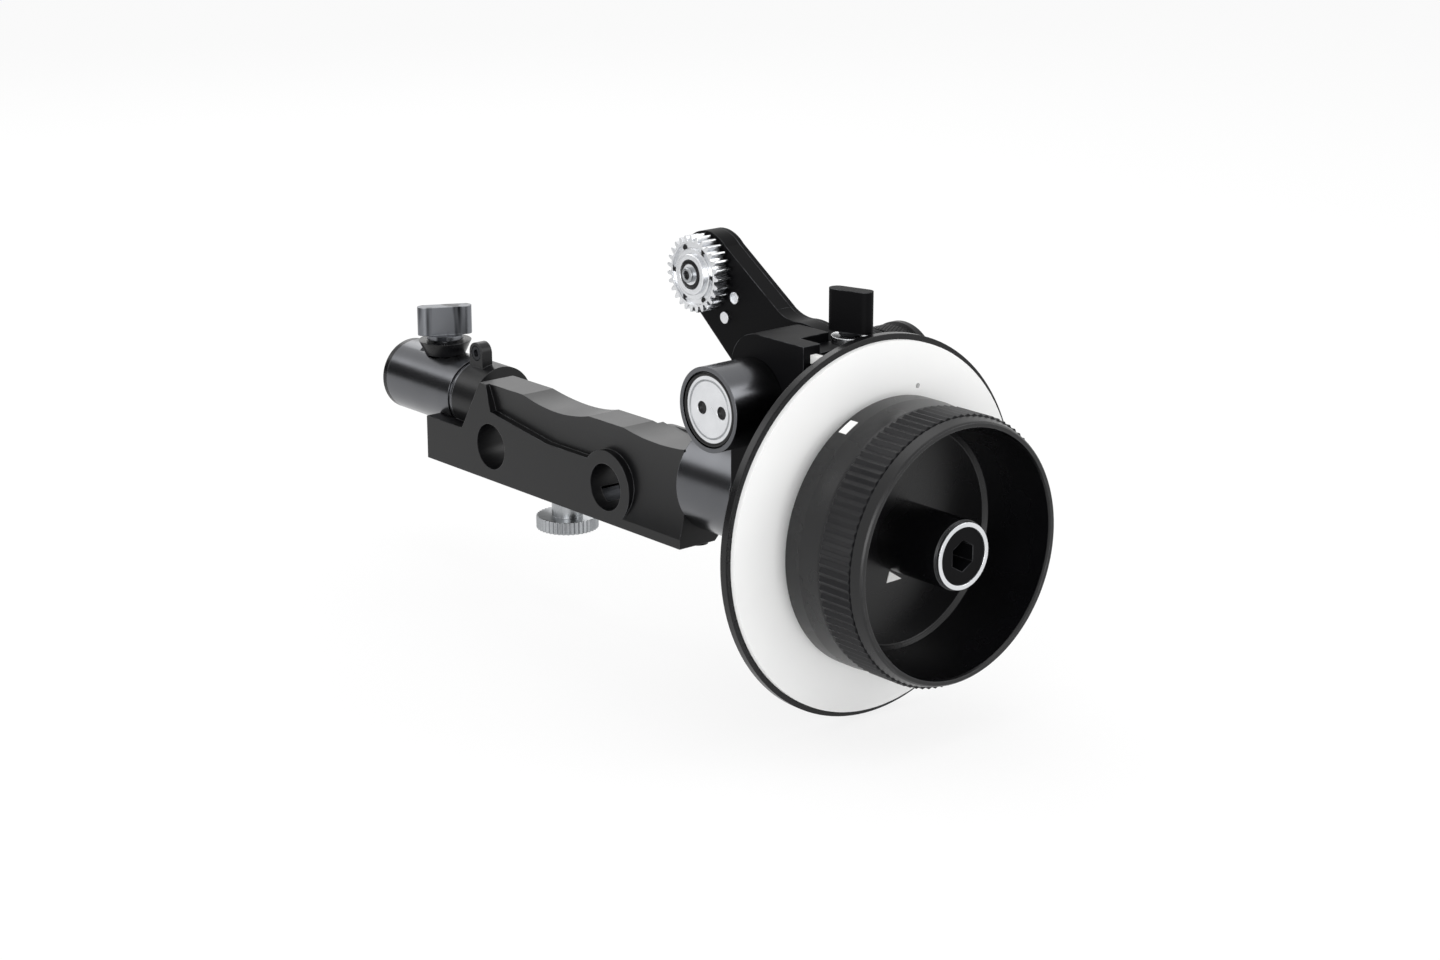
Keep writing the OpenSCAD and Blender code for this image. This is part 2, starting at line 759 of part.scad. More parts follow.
module gearbox_housing() {
    color([0.08, 0.08, 0.09])
    difference() {
        union() {
            on_wheel(box_x0, box_x1, neck_r);
            along_y(cheek_y0, cheek_y1)
                cheek_outline();
            along_y(case_y0, case_y1)
                case_outline(case_r);
            along_y(case_y0, wheel_y + neck_r)
                translate([shaft_x, cheek_z0])
                    square([cheek_x1 - shaft_x, case_top - cheek_z0 - 4]);
            translate([lock_block_x0, cheek_y1 - 1, pivot_z + lock_block_rise])
                cube([cheek_x1 - lock_block_x0, arm_t + 2 * arm_gap + 2, cheek_rise - lock_block_rise]);
        }
        // the barrel is hollow round the bevel pair, with a seat for the bearings
        on_wheel(box_x0 - 1, bearing_x0 - 0.5, box_in_r);
        on_wheel(bearing_x0 - 1, box_x1 + 1, bearing_r + seat);
        // slot for the arm's hub
        along_y(cheek_y1, case_y0)
            difference() {
                translate([shaft_x, pivot_z])
                    circle(r = arm_hub_r + lock_shoe_gap + 0.1);
                translate([shaft_x - 2 * arm_hub_r, wheel_z])
                    square([4 * arm_hub_r, pivot_z - wheel_z - neck_clear]);
            }
        // step for the lock's plate, open towards the hand-wheel
        translate([lock_plate_x0 - 0.3, lock_plate_y0 - 0.3, lock_plate_z])
            cube([cheek_x1 - lock_plate_x0 + 1.3, lock_plate_y1 - lock_plate_y0 + 2.3, lock_recess + 1]);
        // upper shaft, lower shaft, middle pin
        rod_y(shaft_x, pivot_z, cheek_y0 - 1, case_y1, bush_r + seat);
        rod_y(shaft_x, wheel_z, wheel_y, case_y1, lower_bush_r + seat);
        rod_y(shaft_x, middle_z, case_floor - 4, case_y1, middle_pin_r + seat);
        along_y(case_floor, case_y1 + 1)
            case_outline(box_r + box_module + tooth_clear);
        // guide for the brake shoe
        translate([lock_x, lock_y, pivot_z])
            cylinder(h = cheek_rise + 1, r = lock_shoe_r + fit);
        for (p = cover_screw_places)
            rod_y(p[0], p[1], case_y1 - 3, case_y1 + 1, cover_screw_r + seat);
    }
}

cover_screw_r = 1.2;
cover_screw_ring = case_r - 1.4;
cover_screw_places = [for (s = [-1, 1], k = [0, 1])
    [shaft_x + s * cover_screw_ring * cos(50),
     (k == 0 ? wheel_z - cover_screw_ring * sin(50) : pivot_z + cover_screw_ring * sin(50))]];

module rear_cover() {
    color([0.08, 0.08, 0.09])
    difference() {
        along_y(case_y1 + seat, cover_y1)
            case_outline(case_r);
        rod_y(shaft_x, pivot_z, case_y1 - 1, cover_y1 + 1, shaft_r + 0.3);
        rod_y(shaft_x, wheel_z, case_y1 - 1, cover_y1 - 1, lower_shaft_r + fit);
        rod_y(shaft_x, middle_z, case_y1 - 1, cover_y1 - 1, middle_pin_r + seat);
        for (p = cover_screw_places) {
            rod_y(p[0], p[1], case_y1 - 1, cover_y1 + 1, cover_screw_r + seat);
            rod_y(p[0], p[1], cover_y1 - 1.2, cover_y1 + 1, cover_screw_r + 1.1);
        }
    }
}

module cover_screws() {
    color([0.6, 0.6, 0.62])
    for (p = cover_screw_places) {
        rod_y(p[0], p[1], case_y1 - 2.9, cover_y1 - 0.4, cover_screw_r);
        rod_y(p[0], p[1], cover_y1 - 1.2 + seat, cover_y1 - 0.1, cover_screw_r + 1);
    }
}

snout_y0 = cheek_y0 - snout_len;
port_recess = 2.8;
port_y1 = snout_y0 + port_recess - 0.3;
port_t = 2;
port_hole_r = 1.9;
port_hole_t = 1.4;
port_hole_x = [-3.2, 5.2];

module port_snout() {
    color([0.06, 0.06, 0.07])
    difference() {
        rod_y(shaft_x, pivot_z, snout_y0, cheek_y0 - seat, snout_d / 2);
        rod_y(shaft_x, pivot_z, snout_y0 - 1, cheek_y0 + 1, bush_r + seat);
        rod_y(shaft_x, pivot_z, snout_y0 - 1, snout_y0 + port_recess, port_d / 2 + 0.3);
    }
}

module shaft_bushes() {
    color([0.72, 0.6, 0.35]) {
        ring_y(shaft_x, pivot_z, snout_y0 + port_recess + 0.3, snout_y0 + port_recess + bush_t,
               bush_r, shaft_r + fit);
        ring_y(shaft_x, pivot_z, case_floor - bush_t, case_floor - 0.2, bush_r, shaft_r + fit);
        ring_y(shaft_x, wheel_z, wheel_y + box_in_r + 0.2, case_floor - 0.2,
               lower_bush_r, lower_shaft_r + fit);
    }
}

// the arm swings on two bushes that stand out of the cheeks
module arm_bushes() {
    color([0.72, 0.6, 0.35]) {
        ring_y(shaft_x, pivot_z, cheek_y1 - 4, arm_gear_y0 - 0.1, bush_r, shaft_r + fit);
        ring_y(shaft_x, pivot_z, arm_gear_y1 + 0.1, case_y0 + 4, bush_r, shaft_r + fit);
    }
}

module wheel_bearings() {
    color([0.62, 0.62, 0.65])
    for (x = [bearing_x0, bearing_x1 - bearing_w])
        difference() {
            wheel_ring(x, x + bearing_w, bearing_r, wheel_shaft_r + fit);
            wheel_ring(x - 1, x + 0.5, bearing_r - 2, wheel_shaft_r + 2);
            wheel_ring(x + bearing_w - 0.5, x + bearing_w + 1, bearing_r - 2, wheel_shaft_r + 2);
        }
}

// ---- upper shaft ----

module drive_port_disc() {
    color([0.85, 0.85, 0.87])
    difference() {
        rod_y(shaft_x, pivot_z, port_y1 - port_t, port_y1, port_d / 2);
        for (x = port_hole_x)
            rod_y(shaft_x + x, pivot_z, port_y1 - port_t - 1, port_y1 - port_t + port_hole_t, port_hole_r);
    }
}

module drive_shaft() {
    color([0.62, 0.62, 0.65])
    rod_y(shaft_x, pivot_z, port_y1, cover_y1 + rear_knob_len, shaft_r);
}

module drive_gear() {
    color([0.72, 0.6, 0.35])
    spur_y(shaft_x, pivot_z, case_gear_y0, case_gear_y1, box_module, box_teeth, upper_phase,
           shaft_r + seat);
}

module rear_knob() {
    color([0.12, 0.12, 0.13])
    difference() {
        union() {
            along_y(cover_y1 + 0.6, cover_y1 + rear_knob_len - 2)
                translate([shaft_x, pivot_z])
                    ribbed(rear_knob_d / 2, 0.7, 56);
            rod_y(shaft_x, pivot_z, cover_y1 + rear_knob_len - 2 - eps, cover_y1 + rear_knob_len + 1,
                  rear_knob_d / 2 + 0.8);
        }
        rod_y(shaft_x, pivot_z, cover_y1, cover_y1 + rear_knob_len + seat, shaft_r + seat);
        rod_y(shaft_x, pivot_z, cover_y1 + rear_knob_len + 0.2, cover_y1 + rear_knob_len + 2,
              rear_knob_d / 2 - 2);
    }
}

// ---- lower shaft and middle gear ----

module middle_gear() {
    color([0.72, 0.6, 0.35])
    spur_y(shaft_x, middle_z, case_gear_y0, case_gear_y1, box_module, middle_teeth, middle_phase,
           middle_pin_r + fit);
}

module middle_pin() {
    color([0.62, 0.62, 0.65])
    rod_y(shaft_x, middle_z, case_floor - 3.9, cover_y1 - 1.1, middle_pin_r);
}

module lower_shaft() {
    color([0.62, 0.62, 0.65])
    rod_y(shaft_x, wheel_z, wheel_y + bevel_in, cover_y1 - 1.1, lower_shaft_r);
}

module lower_gear() {
    color([0.72, 0.6, 0.35])
    spur_y(shaft_x, wheel_z, case_gear_y0, case_gear_y1, box_module, box_teeth, lower_phase,
           lower_shaft_r + seat);
}

// the gear lies on +Y of the crossing point, with a gap towards +X
module bevel_gear() {
    color([0.62, 0.62, 0.65])
    translate([shaft_x, wheel_y, wheel_z])
        rotate([-90, 0, 0])
            bevel(180 / box_teeth, lower_shaft_r + seat, 2.6);
}

// the pinion lies on +X of the crossing point, with a tooth towards +Y
module bevel_pinion() {
    color([0.62, 0.62, 0.65])
    translate([shaft_x, wheel_y, wheel_z])
        rotate([90, 0, 90])
            bevel(0, wheel_shaft_r + seat, pinion_hub);
}

// ---- swing arm ----

module arm_frame() {
    translate([shaft_x, pivot_z])
        rotate(arm_angle)
            children();
}

fillet_v = -arm_edge - arm_fillet;
fillet_u = sqrt(pow(arm_hub_r + arm_fillet, 2) - fillet_v * fillet_v);
hub_touch = arm_hub_r / (arm_hub_r + arm_fillet);
hub_a0 = -165;
hub_a1 = -30;
rim_far = 3 * arm_hub_r;
tangent_a = acos((arm_low_r - arm_end_r) / arm_span);
inside = 0.996;

// the braked rim covers only the side away from the barrel
module arm_rim() {
    intersection() {
        circle(r = arm_hub_r);
        polygon([[0, 2], rim_far * [cos(hub_a0), sin(hub_a0)], rim_far * [cos(-110), sin(-110)],
                 rim_far * [cos(-60), sin(-60)], rim_far * [cos(hub_a1), sin(hub_a1)]]);
    }
}

// the lower edge runs along hub and end
module arm_web() {
    polygon([[1, -3], inside * arm_low_r * [cos(tangent_a), sin(tangent_a)],
             [arm_span, 0] + inside * arm_end_r * [cos(tangent_a), sin(tangent_a)],
             [arm_span + 1, -arm_edge], [fillet_u - 0.2, -arm_edge]]);
}

// the upper edge meets the rim in a fillet
module arm_corner() {
    difference() {
        polygon([[3, -5], inside * hub_touch * [fillet_u, fillet_v], [fillet_u, fillet_v],
                 [fillet_u, 2 - arm_edge]]);
        translate([fillet_u, fillet_v])
            circle(r = arm_fillet + 0.05);
    }
}

module arm_solid(y0, y1) {
    rod_y(shaft_x, pivot_z, y0, y1, arm_low_r);
    rod_y(lens_x, lens_z, y0, y1, arm_end_r);
    along_y(y0, y1)
        arm_frame()
            arm_rim();
    along_y(y0, y1)
        arm_frame()
            arm_web();
    along_y(y0, y1)
        arm_frame()
            arm_corner();
}

function arm_point(u, v) =
    [shaft_x + u * cos(arm_angle) - v * sin(arm_angle), pivot_z + u * sin(arm_angle) + v * cos(arm_angle)];

idler_a_at = arm_point(2 * arm_r, 0);
idler_b_at = arm_point(4 * arm_r, 0);
arm_screw_places = [for (s = [-1, 1]) arm_point(arm_screw_u, arm_screw_v + s * arm_screw_half)];
arm_screw_head_r = 1.8;

module arm_body() {
    color([0.07, 0.07, 0.08])
    difference() {
        union()
            arm_solid(arm_y0, arm_y1 - arm_wall);
        along_y(arm_y0 + arm_wall, arm_y1)
            arm_frame()
                for (k = [0, 1]) {
                    translate([k * arm_span, 0])
                        circle(r = arm_pocket_r);
                    translate([0, -arm_pocket_r])
                        square([arm_span, 2 * arm_pocket_r]);
                }
        rod_y(shaft_x, pivot_z, arm_y0 - 1, arm_y1, bush_r + fit);
        rod_y(lens_x, lens_z, arm_y0 - 1, arm_y1, spindle_r + fit);
        for (p = [idler_a_at, idler_b_at])
            rod_y(p[0], p[1], arm_y0 + pin_cap, arm_y1, idler_pin_r + seat);
        for (p = arm_screw_places)
            rod_y(p[0], p[1], arm_y0 - 1, arm_y0 + 1.2, 1);
    }
}

module arm_cover() {
    color([0.07, 0.07, 0.08])
    difference() {
        union()
            arm_solid(arm_y1 - arm_wall + seat, arm_y1);
        rod_y(shaft_x, pivot_z, arm_y0, arm_y1 + 1, bush_r + fit);
        rod_y(lens_x, lens_z, arm_y0, arm_y1 + 1, spindle_r + fit);
        for (p = [idler_a_at, idler_b_at])
            rod_y(p[0], p[1], arm_y0, arm_y1 + 1, idler_pin_r + seat);
    }
}

module arm_screws() {
    color([0.8, 0.8, 0.82])
    for (p = arm_screw_places) {
        rod_y(p[0], p[1], arm_y0 - 0.8, arm_y0 - seat, arm_screw_head_r);
        rod_y(p[0], p[1], arm_y0 - 0.4, arm_y0 + 1.1, 0.98);
    }
}

module arm_pins() {
    color([0.62, 0.62, 0.65])
    for (p = [idler_a_at, idler_b_at])
        rod_y(p[0], p[1], arm_y0 + pin_cap + seat, arm_y1 - 0.1, idler_pin_r);
}

module arm_gear(at, phase, bore) {
    spur_y(at[0], at[1], arm_gear_y0, arm_gear_y1, arm_module, arm_teeth, phase, bore);
}

module sun_gear() {
    color([0.62, 0.62, 0.65])
    arm_gear([shaft_x, pivot_z], sun_phase, shaft_r + fit);
}

module arm_idler_a() {
    color([0.62, 0.62, 0.65])
    arm_gear(idler_a_at, idler_a_phase, idler_pin_r + fit);
}

module arm_idler_b() {
    color([0.62, 0.62, 0.65])
    arm_gear(idler_b_at, idler_b_phase, idler_pin_r + fit);
}

module spindle_gear() {
    color([0.62, 0.62, 0.65])
    arm_gear([lens_x, lens_z], spindle_phase, spindle_r + seat);
}

module lens_spindle() {
    color([0.62, 0.62, 0.65])
    rod_y(lens_x, lens_z, lens_y0 + 0.8, arm_y1 - 0.1, spindle_r);
}

module lens_gear() {
    color([0.85, 0.85, 0.87])
    difference() {
        spur_y(lens_x, lens_z, lens_y0, lens_y1, lens_module, lens_teeth, 0, spindle_r + seat);
        ring_y(lens_x, lens_z, lens_y0 - 1, lens_y0 + 0.8, lens_r - 1.6, lens_r - 3.2);
    }
}

// ---- arm lock ----

module lock_plate() {
    color([0.06, 0.06, 0.07])
    difference() {
        translate([lock_plate_x0, lock_plate_y0, lock_plate_z + seat])
            cube([cheek_x1 - lock_plate_x0, lock_plate_y1 - lock_plate_y0, lock_plate_t]);
        translate([lock_x, lock_y, lock_plate_z - 1])
            cylinder(h = lock_plate_t + 2, r = lock_stem_r + fit);
    }
}

lock_collar_z = lock_plate_z + lock_plate_t + 2 * seat;
lock_tab_z = lock_collar_z + lock_collar_h + lock_travel + stem_gap;

module lock_collar() {
    color([0.75, 0.75, 0.77])
    difference() {
        translate([lock_x, lock_y, lock_collar_z])
            cylinder(h = lock_collar_h, r = lock_collar_r);
        translate([lock_x, lock_y, lock_collar_z - 1])
            cylinder(h = lock_collar_h + 2, r = lock_stem_r + fit);
    }
}

module arm_lock_lever() {
    color([0.08, 0.08, 0.09])
    translate([lock_x, lock_y, 0]) {
        translate([0, 0, lock_tab_z])
            lever_tab(lock_tab_w, lock_tab_h, lock_tab_turn, lock_base_r, lock_base_h);
        translate([0, 0, lock_shoe_top + 0.05])
            cylinder(h = lock_tab_z - lock_shoe_top, r = lock_stem_r - 0.1);
    }
}

module arm_brake_shoe() {
    color([0.72, 0.6, 0.35])
    difference() {
        translate([lock_x, lock_y, pivot_z])
            cylinder(h = lock_shoe_top - pivot_z, r = lock_shoe_r);
        rod_y(shaft_x, pivot_z, arm_y0 - 2, arm_y1 + 2, arm_hub_r + lock_shoe_gap);
    }
}

// ---- marking disc and hand-wheel ----

pointer_y0 = cheek_y0 + 2.6;
pointer_z0 = cheek_top - 5;
pointer_w = 2.2;
pointer_h = 2.4;
pointer_t = 3.7;

module index_pointer() {
    color("white")
    translate([cheek_x1 + seat, pointer_y0, pointer_z0])
        cube([pointer_t, pointer_w, pointer_h]);
}

module wheel_shaft() {
    color([0.62, 0.62, 0.65])
    difference() {
        union() {
            on_wheel(shaft_x + bevel_in, backing_x1, wheel_shaft_r);
            on_wheel(box_x1 + 0.4, backing_x0 - seat, shaft_flange_r);
            on_wheel(backing_x0 - 1, floor_x - 1.5, shaft_boss_r);
        }
        on_wheel(floor_x - 12, floor_x, screw_r + seat);
    }
}

module disc_backing() {
    color([0.05, 0.05, 0.06])
    wheel_ring(backing_x0, backing_x1, backing_r, shaft_boss_r + seat);
}

// a small sighting hole near the top of the disc
disc_dot_r = 0.8;
disc_dot_at = [14.5, 39.6];

module marking_disc() {
    color([0.95, 0.95, 0.95])
    difference() {
        wheel_ring(disc_x0 + seat, disc_x1, disc_r, disc_hole_r);
        rod_x(wheel_y + disc_dot_at[0], wheel_z + disc_dot_at[1], disc_x0 - 1, disc_x1 + 1, disc_dot_r);
    }
}

module handwheel() {
    color([0.07, 0.07, 0.08])
    difference() {
        turned([[0, backing_x1 + seat], [pilot_r, backing_x1 + seat], [pilot_r, wheel_x0],
                [wheel_r - 0.8, wheel_x0], [wheel_r, wheel_x0 + 0.8], [wheel_r, wheel_x0 + 6.5],
                [wheel_r - 0.6, grip_x0 - 0.8], [wheel_r - 0.9, grip_x0],
                [wheel_r - 0.9 - grip_depth, grip_x0], [wheel_r - 0.9 - grip_depth, grip_x1],
                [lip_r + 0.9, grip_x1], [lip_r, wheel_x1 - 0.6], [lip_r - 0.5, wheel_x1],
                [lip_r - lip_wall + 0.4, wheel_x1], [lip_r - lip_wall, wheel_x1 - 0.8],
                [floor_r, floor_x + 1.2], [floor_r - 1.2, floor_x], [0, floor_x]]);
        on_wheel(backing_x1 - 1, floor_x - 1.5, shaft_boss_r + seat);
        on_wheel(backing_x1 - 1, floor_x + 1, screw_r + seat);
    }
}

module grip_ring() {
    color([0.1, 0.1, 0.11])
    difference() {
        along_x(grip_x0 + 0.1, grip_x1 - 0.1)
            translate([wheel_y, wheel_z])
                ribbed(wheel_r - 0.2, 0.6, grip_ribs);
        on_wheel(grip_x0 - 1, grip_x1 + 1, wheel_r - 0.9 - grip_depth + seat);
    }
}

module wheel_hub() {
    color([0.04, 0.04, 0.05])
    difference() {
        on_wheel(floor_x + seat, hub_x1, hub_r);
        on_wheel(floor_x + screw_head_h + 1, hub_x1 + 1, hub_bore_r + seat);
        on_wheel(floor_x - 1, floor_x + screw_head_h + 2, screw_r + seat);
        on_wheel(floor_x + 1, floor_x + screw_head_h + 2, screw_head_r + seat);
    }
}

module hub_ring() {
    color([0.85, 0.85, 0.87])
    wheel_ring(hub_x1 + seat, hub_x1 + hub_ring_t, hub_r - hub_ring_in, hub_bore_r + seat);
}

module crank_socket() {
    color([0.1, 0.1, 0.11])
    difference() {
        on_wheel(hub_x1 - socket_len, hub_x1 + hub_ring_t - 0.4, hub_bore_r);
        translate([hub_x1 - socket_len - 1, wheel_y, wheel_z])
            rotate([0, 90, 0])
                cylinder(h = socket_len + 4, r = socket_af / sqrt(3), $fn = 6);
    }
}

module retaining_screw() {
    color([0.62, 0.62, 0.65])
    difference() {
        union() {
            on_wheel(floor_x - 10, floor_x + 1 + seat, screw_r);
            on_wheel(floor_x + 1 + seat, floor_x + 1 + screw_head_h, screw_head_r);
        }
        translate([floor_x + screw_head_h, wheel_y, wheel_z])
            rotate([0, 90, 0])
                cylinder(h = 3, r = 1.8, $fn = 6);
    }
}

// white reference marks: a bar on the wheel's base band and a wedge on the cup's floor
mark_angle = 118.7;
mark_in = 2.2;
mark_len = 2.8;
mark_w = 5.2;
wedge_angle = 252;

module wheel_marks() {
    color("white") {
        intersection() {
            wheel_ring(wheel_x0 + mark_in, wheel_x0 + mark_in + mark_len, wheel_r + mark_t, wheel_r + seat);
            translate([0, wheel_y, wheel_z])
                rotate([mark_angle, 0, 0])
                    translate([wheel_x0, wheel_r / 2, -mark_w / 2])
                        cube([mark_in + mark_len + 1, wheel_r, mark_w]);
        }
        translate([0, wheel_y, wheel_z])
            rotate([wedge_angle, 0, 0])
                translate([floor_x + seat, hub_r + 0.3, 0])
                    rotate([90, 0, 90])
                        linear_extrude(mark_t)
                            polygon([[0, -2.2], [3.4, -2.2], [1.5, 3.2]]);
    }
}

bridge_bar();
clamp_barrel();
barrel_end_ring();
barrel_collar();
barrel_lever();
barrel_clamp_shoe();
ear_screw();
rod_clamp_knob();
rod_clamp_shoe();
neck_tube();
neck_spigot();
neck_clamp_screws();
gearbox_housing();
rear_cover();
cover_screws();
port_snout();
shaft_bushes();
arm_bushes();
wheel_bearings();
drive_port_disc();
drive_shaft();
drive_gear();
rear_knob();
middle_gear();
middle_pin();
lower_shaft();
lower_gear();
bevel_gear();
bevel_pinion();
wheel_shaft();
arm_body();
arm_cover();
arm_screws();
arm_pins();
sun_gear();
arm_idler_a();
arm_idler_b();
spindle_gear();
lens_spindle();
lens_gear();
lock_plate();
lock_collar();
arm_lock_lever();
arm_brake_shoe();
index_pointer();
disc_backing();
marking_disc();
handwheel();
grip_ring();
wheel_hub();
hub_ring();
crank_socket();
retaining_screw();
wheel_marks();
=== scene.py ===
"""Looks of a follow focus unit: finishes of the parts, and small turned and knurled pieces.

Run as a script. Everything is in metres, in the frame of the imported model.
"""

import math

import bmesh
import bpy
from bpy.props import (
    FloatProperty,
    FloatVectorProperty,
    IntProperty,
    PointerProperty,
    StringProperty,
)
from bpy.types import Operator, Panel, PropertyGroup
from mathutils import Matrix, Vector


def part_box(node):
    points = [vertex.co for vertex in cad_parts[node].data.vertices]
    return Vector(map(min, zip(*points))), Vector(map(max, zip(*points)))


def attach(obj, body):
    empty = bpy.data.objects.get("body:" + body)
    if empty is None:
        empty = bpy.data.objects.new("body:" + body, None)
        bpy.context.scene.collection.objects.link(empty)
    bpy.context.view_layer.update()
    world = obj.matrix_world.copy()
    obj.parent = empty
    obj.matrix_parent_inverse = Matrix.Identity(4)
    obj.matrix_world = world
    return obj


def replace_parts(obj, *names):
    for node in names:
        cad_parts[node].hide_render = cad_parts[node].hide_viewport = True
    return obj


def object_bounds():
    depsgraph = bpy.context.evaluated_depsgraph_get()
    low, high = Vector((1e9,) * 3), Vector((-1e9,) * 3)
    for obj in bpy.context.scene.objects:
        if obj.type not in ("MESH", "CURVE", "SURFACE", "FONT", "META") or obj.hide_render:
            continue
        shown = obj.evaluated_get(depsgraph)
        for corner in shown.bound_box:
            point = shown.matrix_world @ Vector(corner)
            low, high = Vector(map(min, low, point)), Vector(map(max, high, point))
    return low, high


bl_info = {
    "name": "Follow Focus Unit",
    "version": (1, 0, 0),
    "blender": (4, 5, 0),
    "location": "View3D > Sidebar > Follow Focus",
    "description": "Dresses the follow focus unit: finishes, caps, knurls, screws and a studio",
    "category": "Object",
}

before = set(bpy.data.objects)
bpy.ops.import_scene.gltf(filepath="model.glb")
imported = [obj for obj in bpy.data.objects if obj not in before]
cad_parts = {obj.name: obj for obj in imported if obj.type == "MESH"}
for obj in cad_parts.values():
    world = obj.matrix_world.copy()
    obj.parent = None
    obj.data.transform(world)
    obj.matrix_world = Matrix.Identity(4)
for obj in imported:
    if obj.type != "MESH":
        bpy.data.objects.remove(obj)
cad_low, cad_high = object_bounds()

MM = 0.001


def middle(node):
    """The middle of a CAD node's box."""
    low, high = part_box(node)
    return (low + high) / 2


wheel_axis = middle("hub_ring")
lens_axis = middle("lens_gear")
drive_axis = middle("drive_port_disc")

# turns that bring a new piece's own Z to the front (-Y) or to the rear (+Y) of the unit
TO_FRONT = (math.pi / 2, 0, 0)
TO_REAR = (-math.pi / 2, 0, 0)

# (inset, height) steps worked into the faces of the turned pieces
WASHER_STEPS = [
    (0.35 * MM, 0.25 * MM),
    (1.3 * MM, 0.0),
    (0.25 * MM, -0.5 * MM),
    (0.9 * MM, 0.0),
    (0.2 * MM, 0.5 * MM),
]
LENS_SCREW_STEPS = [(0.35 * MM, 0.3 * MM), (0.5 * MM, 0.05 * MM)]
LENS_SOCKET_STEPS = [(0.2 * MM, 0.0), (0.15 * MM, -0.4 * MM)]
LENS_HOLE_STEPS = [(0.15 * MM, 0.05 * MM), (0.1 * MM, -0.3 * MM)]
PORT_HOLE_STEPS = [(0.3 * MM, 0.1 * MM), (0.2 * MM, -0.3 * MM)]
COVER_SCREW_STEPS = [(0.3 * MM, 0.3 * MM), (0.55 * MM, 0.1 * MM)]

# the two pin holes of the port disc, by their distance from its axis along X; each gets a black
# lining as painted shade
PORT_HOLES = (("port_hole_far", -3.2 * MM), ("port_hole_near", 5.2 * MM))

# the knob behind its grip: (scale, move in millimetres) of each step
KNOB_END = (
    (1.045, 0.3),
    (1.015, 0.25),
    (1.0, 2.0),
    (0.985, 0.4),
    (0.93, 0.25),
    (0.86, -0.5),
    (0.4, -0.1),
    (0.36, 0.6),
)

# bare metal under the black, under the turned black and under the clear finish, shown on worn
# edges; the same colours paint a highlight on the broken edges
BARE_AND_HIGHLIGHT_GREY = "#77797C"
BARE_AND_HIGHLIGHT_DARK = "#66686B"
BARE_AND_HIGHLIGHT_BRIGHT = "#F7F8FA"

# the studio's white: share of its own light in the floor, and level at which it lights the unit
FLOOR_GLOW = 0.8
SURROUND_LEVEL = 0.82
CARD_PLACE = (-0.5, -0.4, 0.12)
CARD_SCALE = (0.5, 0.26, 1)


# ---- sizes and colours that a user would change ----


class FinishSettings(PropertyGroup):
    """Colours and grain of the finishes."""

    black: StringProperty(
        name="Anodised black",
        description="Colour of the dyed anodised parts, as sRGB hex",
        default="#060607",
    )
    wheel_black: StringProperty(
        name="Wheel black",
        description="Colour of the hand-wheel's finish, as sRGB hex",
        default="#060607",
    )
    silver: StringProperty(
        name="Bright silver",
        description="Colour of the clear anodised parts, as sRGB hex",
        default="#E6E7E9",
    )
    steel: StringProperty(
        name="Ground steel",
        description="Colour of shafts and screws, as sRGB hex",
        default="#B4B6B8",
    )
    bronze: StringProperty(
        name="Bearing bronze",
        description="Colour of bushes and gears, as sRGB hex",
        default="#B48E52",
    )
    disc_white: StringProperty(
        name="Disc white",
        description="Colour of the marking disc, as sRGB hex",
        default="#F3F3F2",
    )
    blast_grain: FloatProperty(
        name="Blast grain",
        description="Size of the bead-blasted grain",
        default=0.45 * MM,
        min=0.1 * MM,
        max=2 * MM,
        unit="LENGTH",
    )
    turning_pitch: FloatProperty(
        name="Turning pitch",
        description="Distance between two turning marks",
        default=0.5 * MM,
        min=0.1 * MM,
        max=2 * MM,
        unit="LENGTH",
    )
    edge_round: FloatProperty(
        name="Edge round",
        description="Radius to which machined edges look broken",
        default=0.35 * MM,
        min=0.0,
        max=1 * MM,
        unit="LENGTH",
    )


class DetailSettings(PropertyGroup):
    """Sizes of the small pieces."""

    knurl_count: IntProperty(
        name="Knurl points",
        description="Knurl points round the rear knob",
        default=72,
        min=24,
        max=144,
    )
    knurl_depth: FloatProperty(
        name="Knurl depth",
        description="Height of a knurl point",
        default=0.5 * MM,
        min=0.1 * MM,
        max=1 * MM,
        unit="LENGTH",
    )
    cap_radius: FloatProperty(
        name="Lens gear cap radius",
        description="Radius of the washer on the lens gear",
        default=6.2 * MM,
        min=4 * MM,
        max=7.4 * MM,
        unit="LENGTH",
    )
    cap_holes: IntProperty(
        name="Lens gear holes",
        description="Blind holes round the lens gear",
        default=6,
        min=3,
        max=12,
    )
    port_ring: FloatProperty(
        name="Port ring radius",
        description="Radius of the turned ring on the port disc",
        default=8.4 * MM,
        min=6 * MM,
        max=9.6 * MM,
        unit="LENGTH",
    )


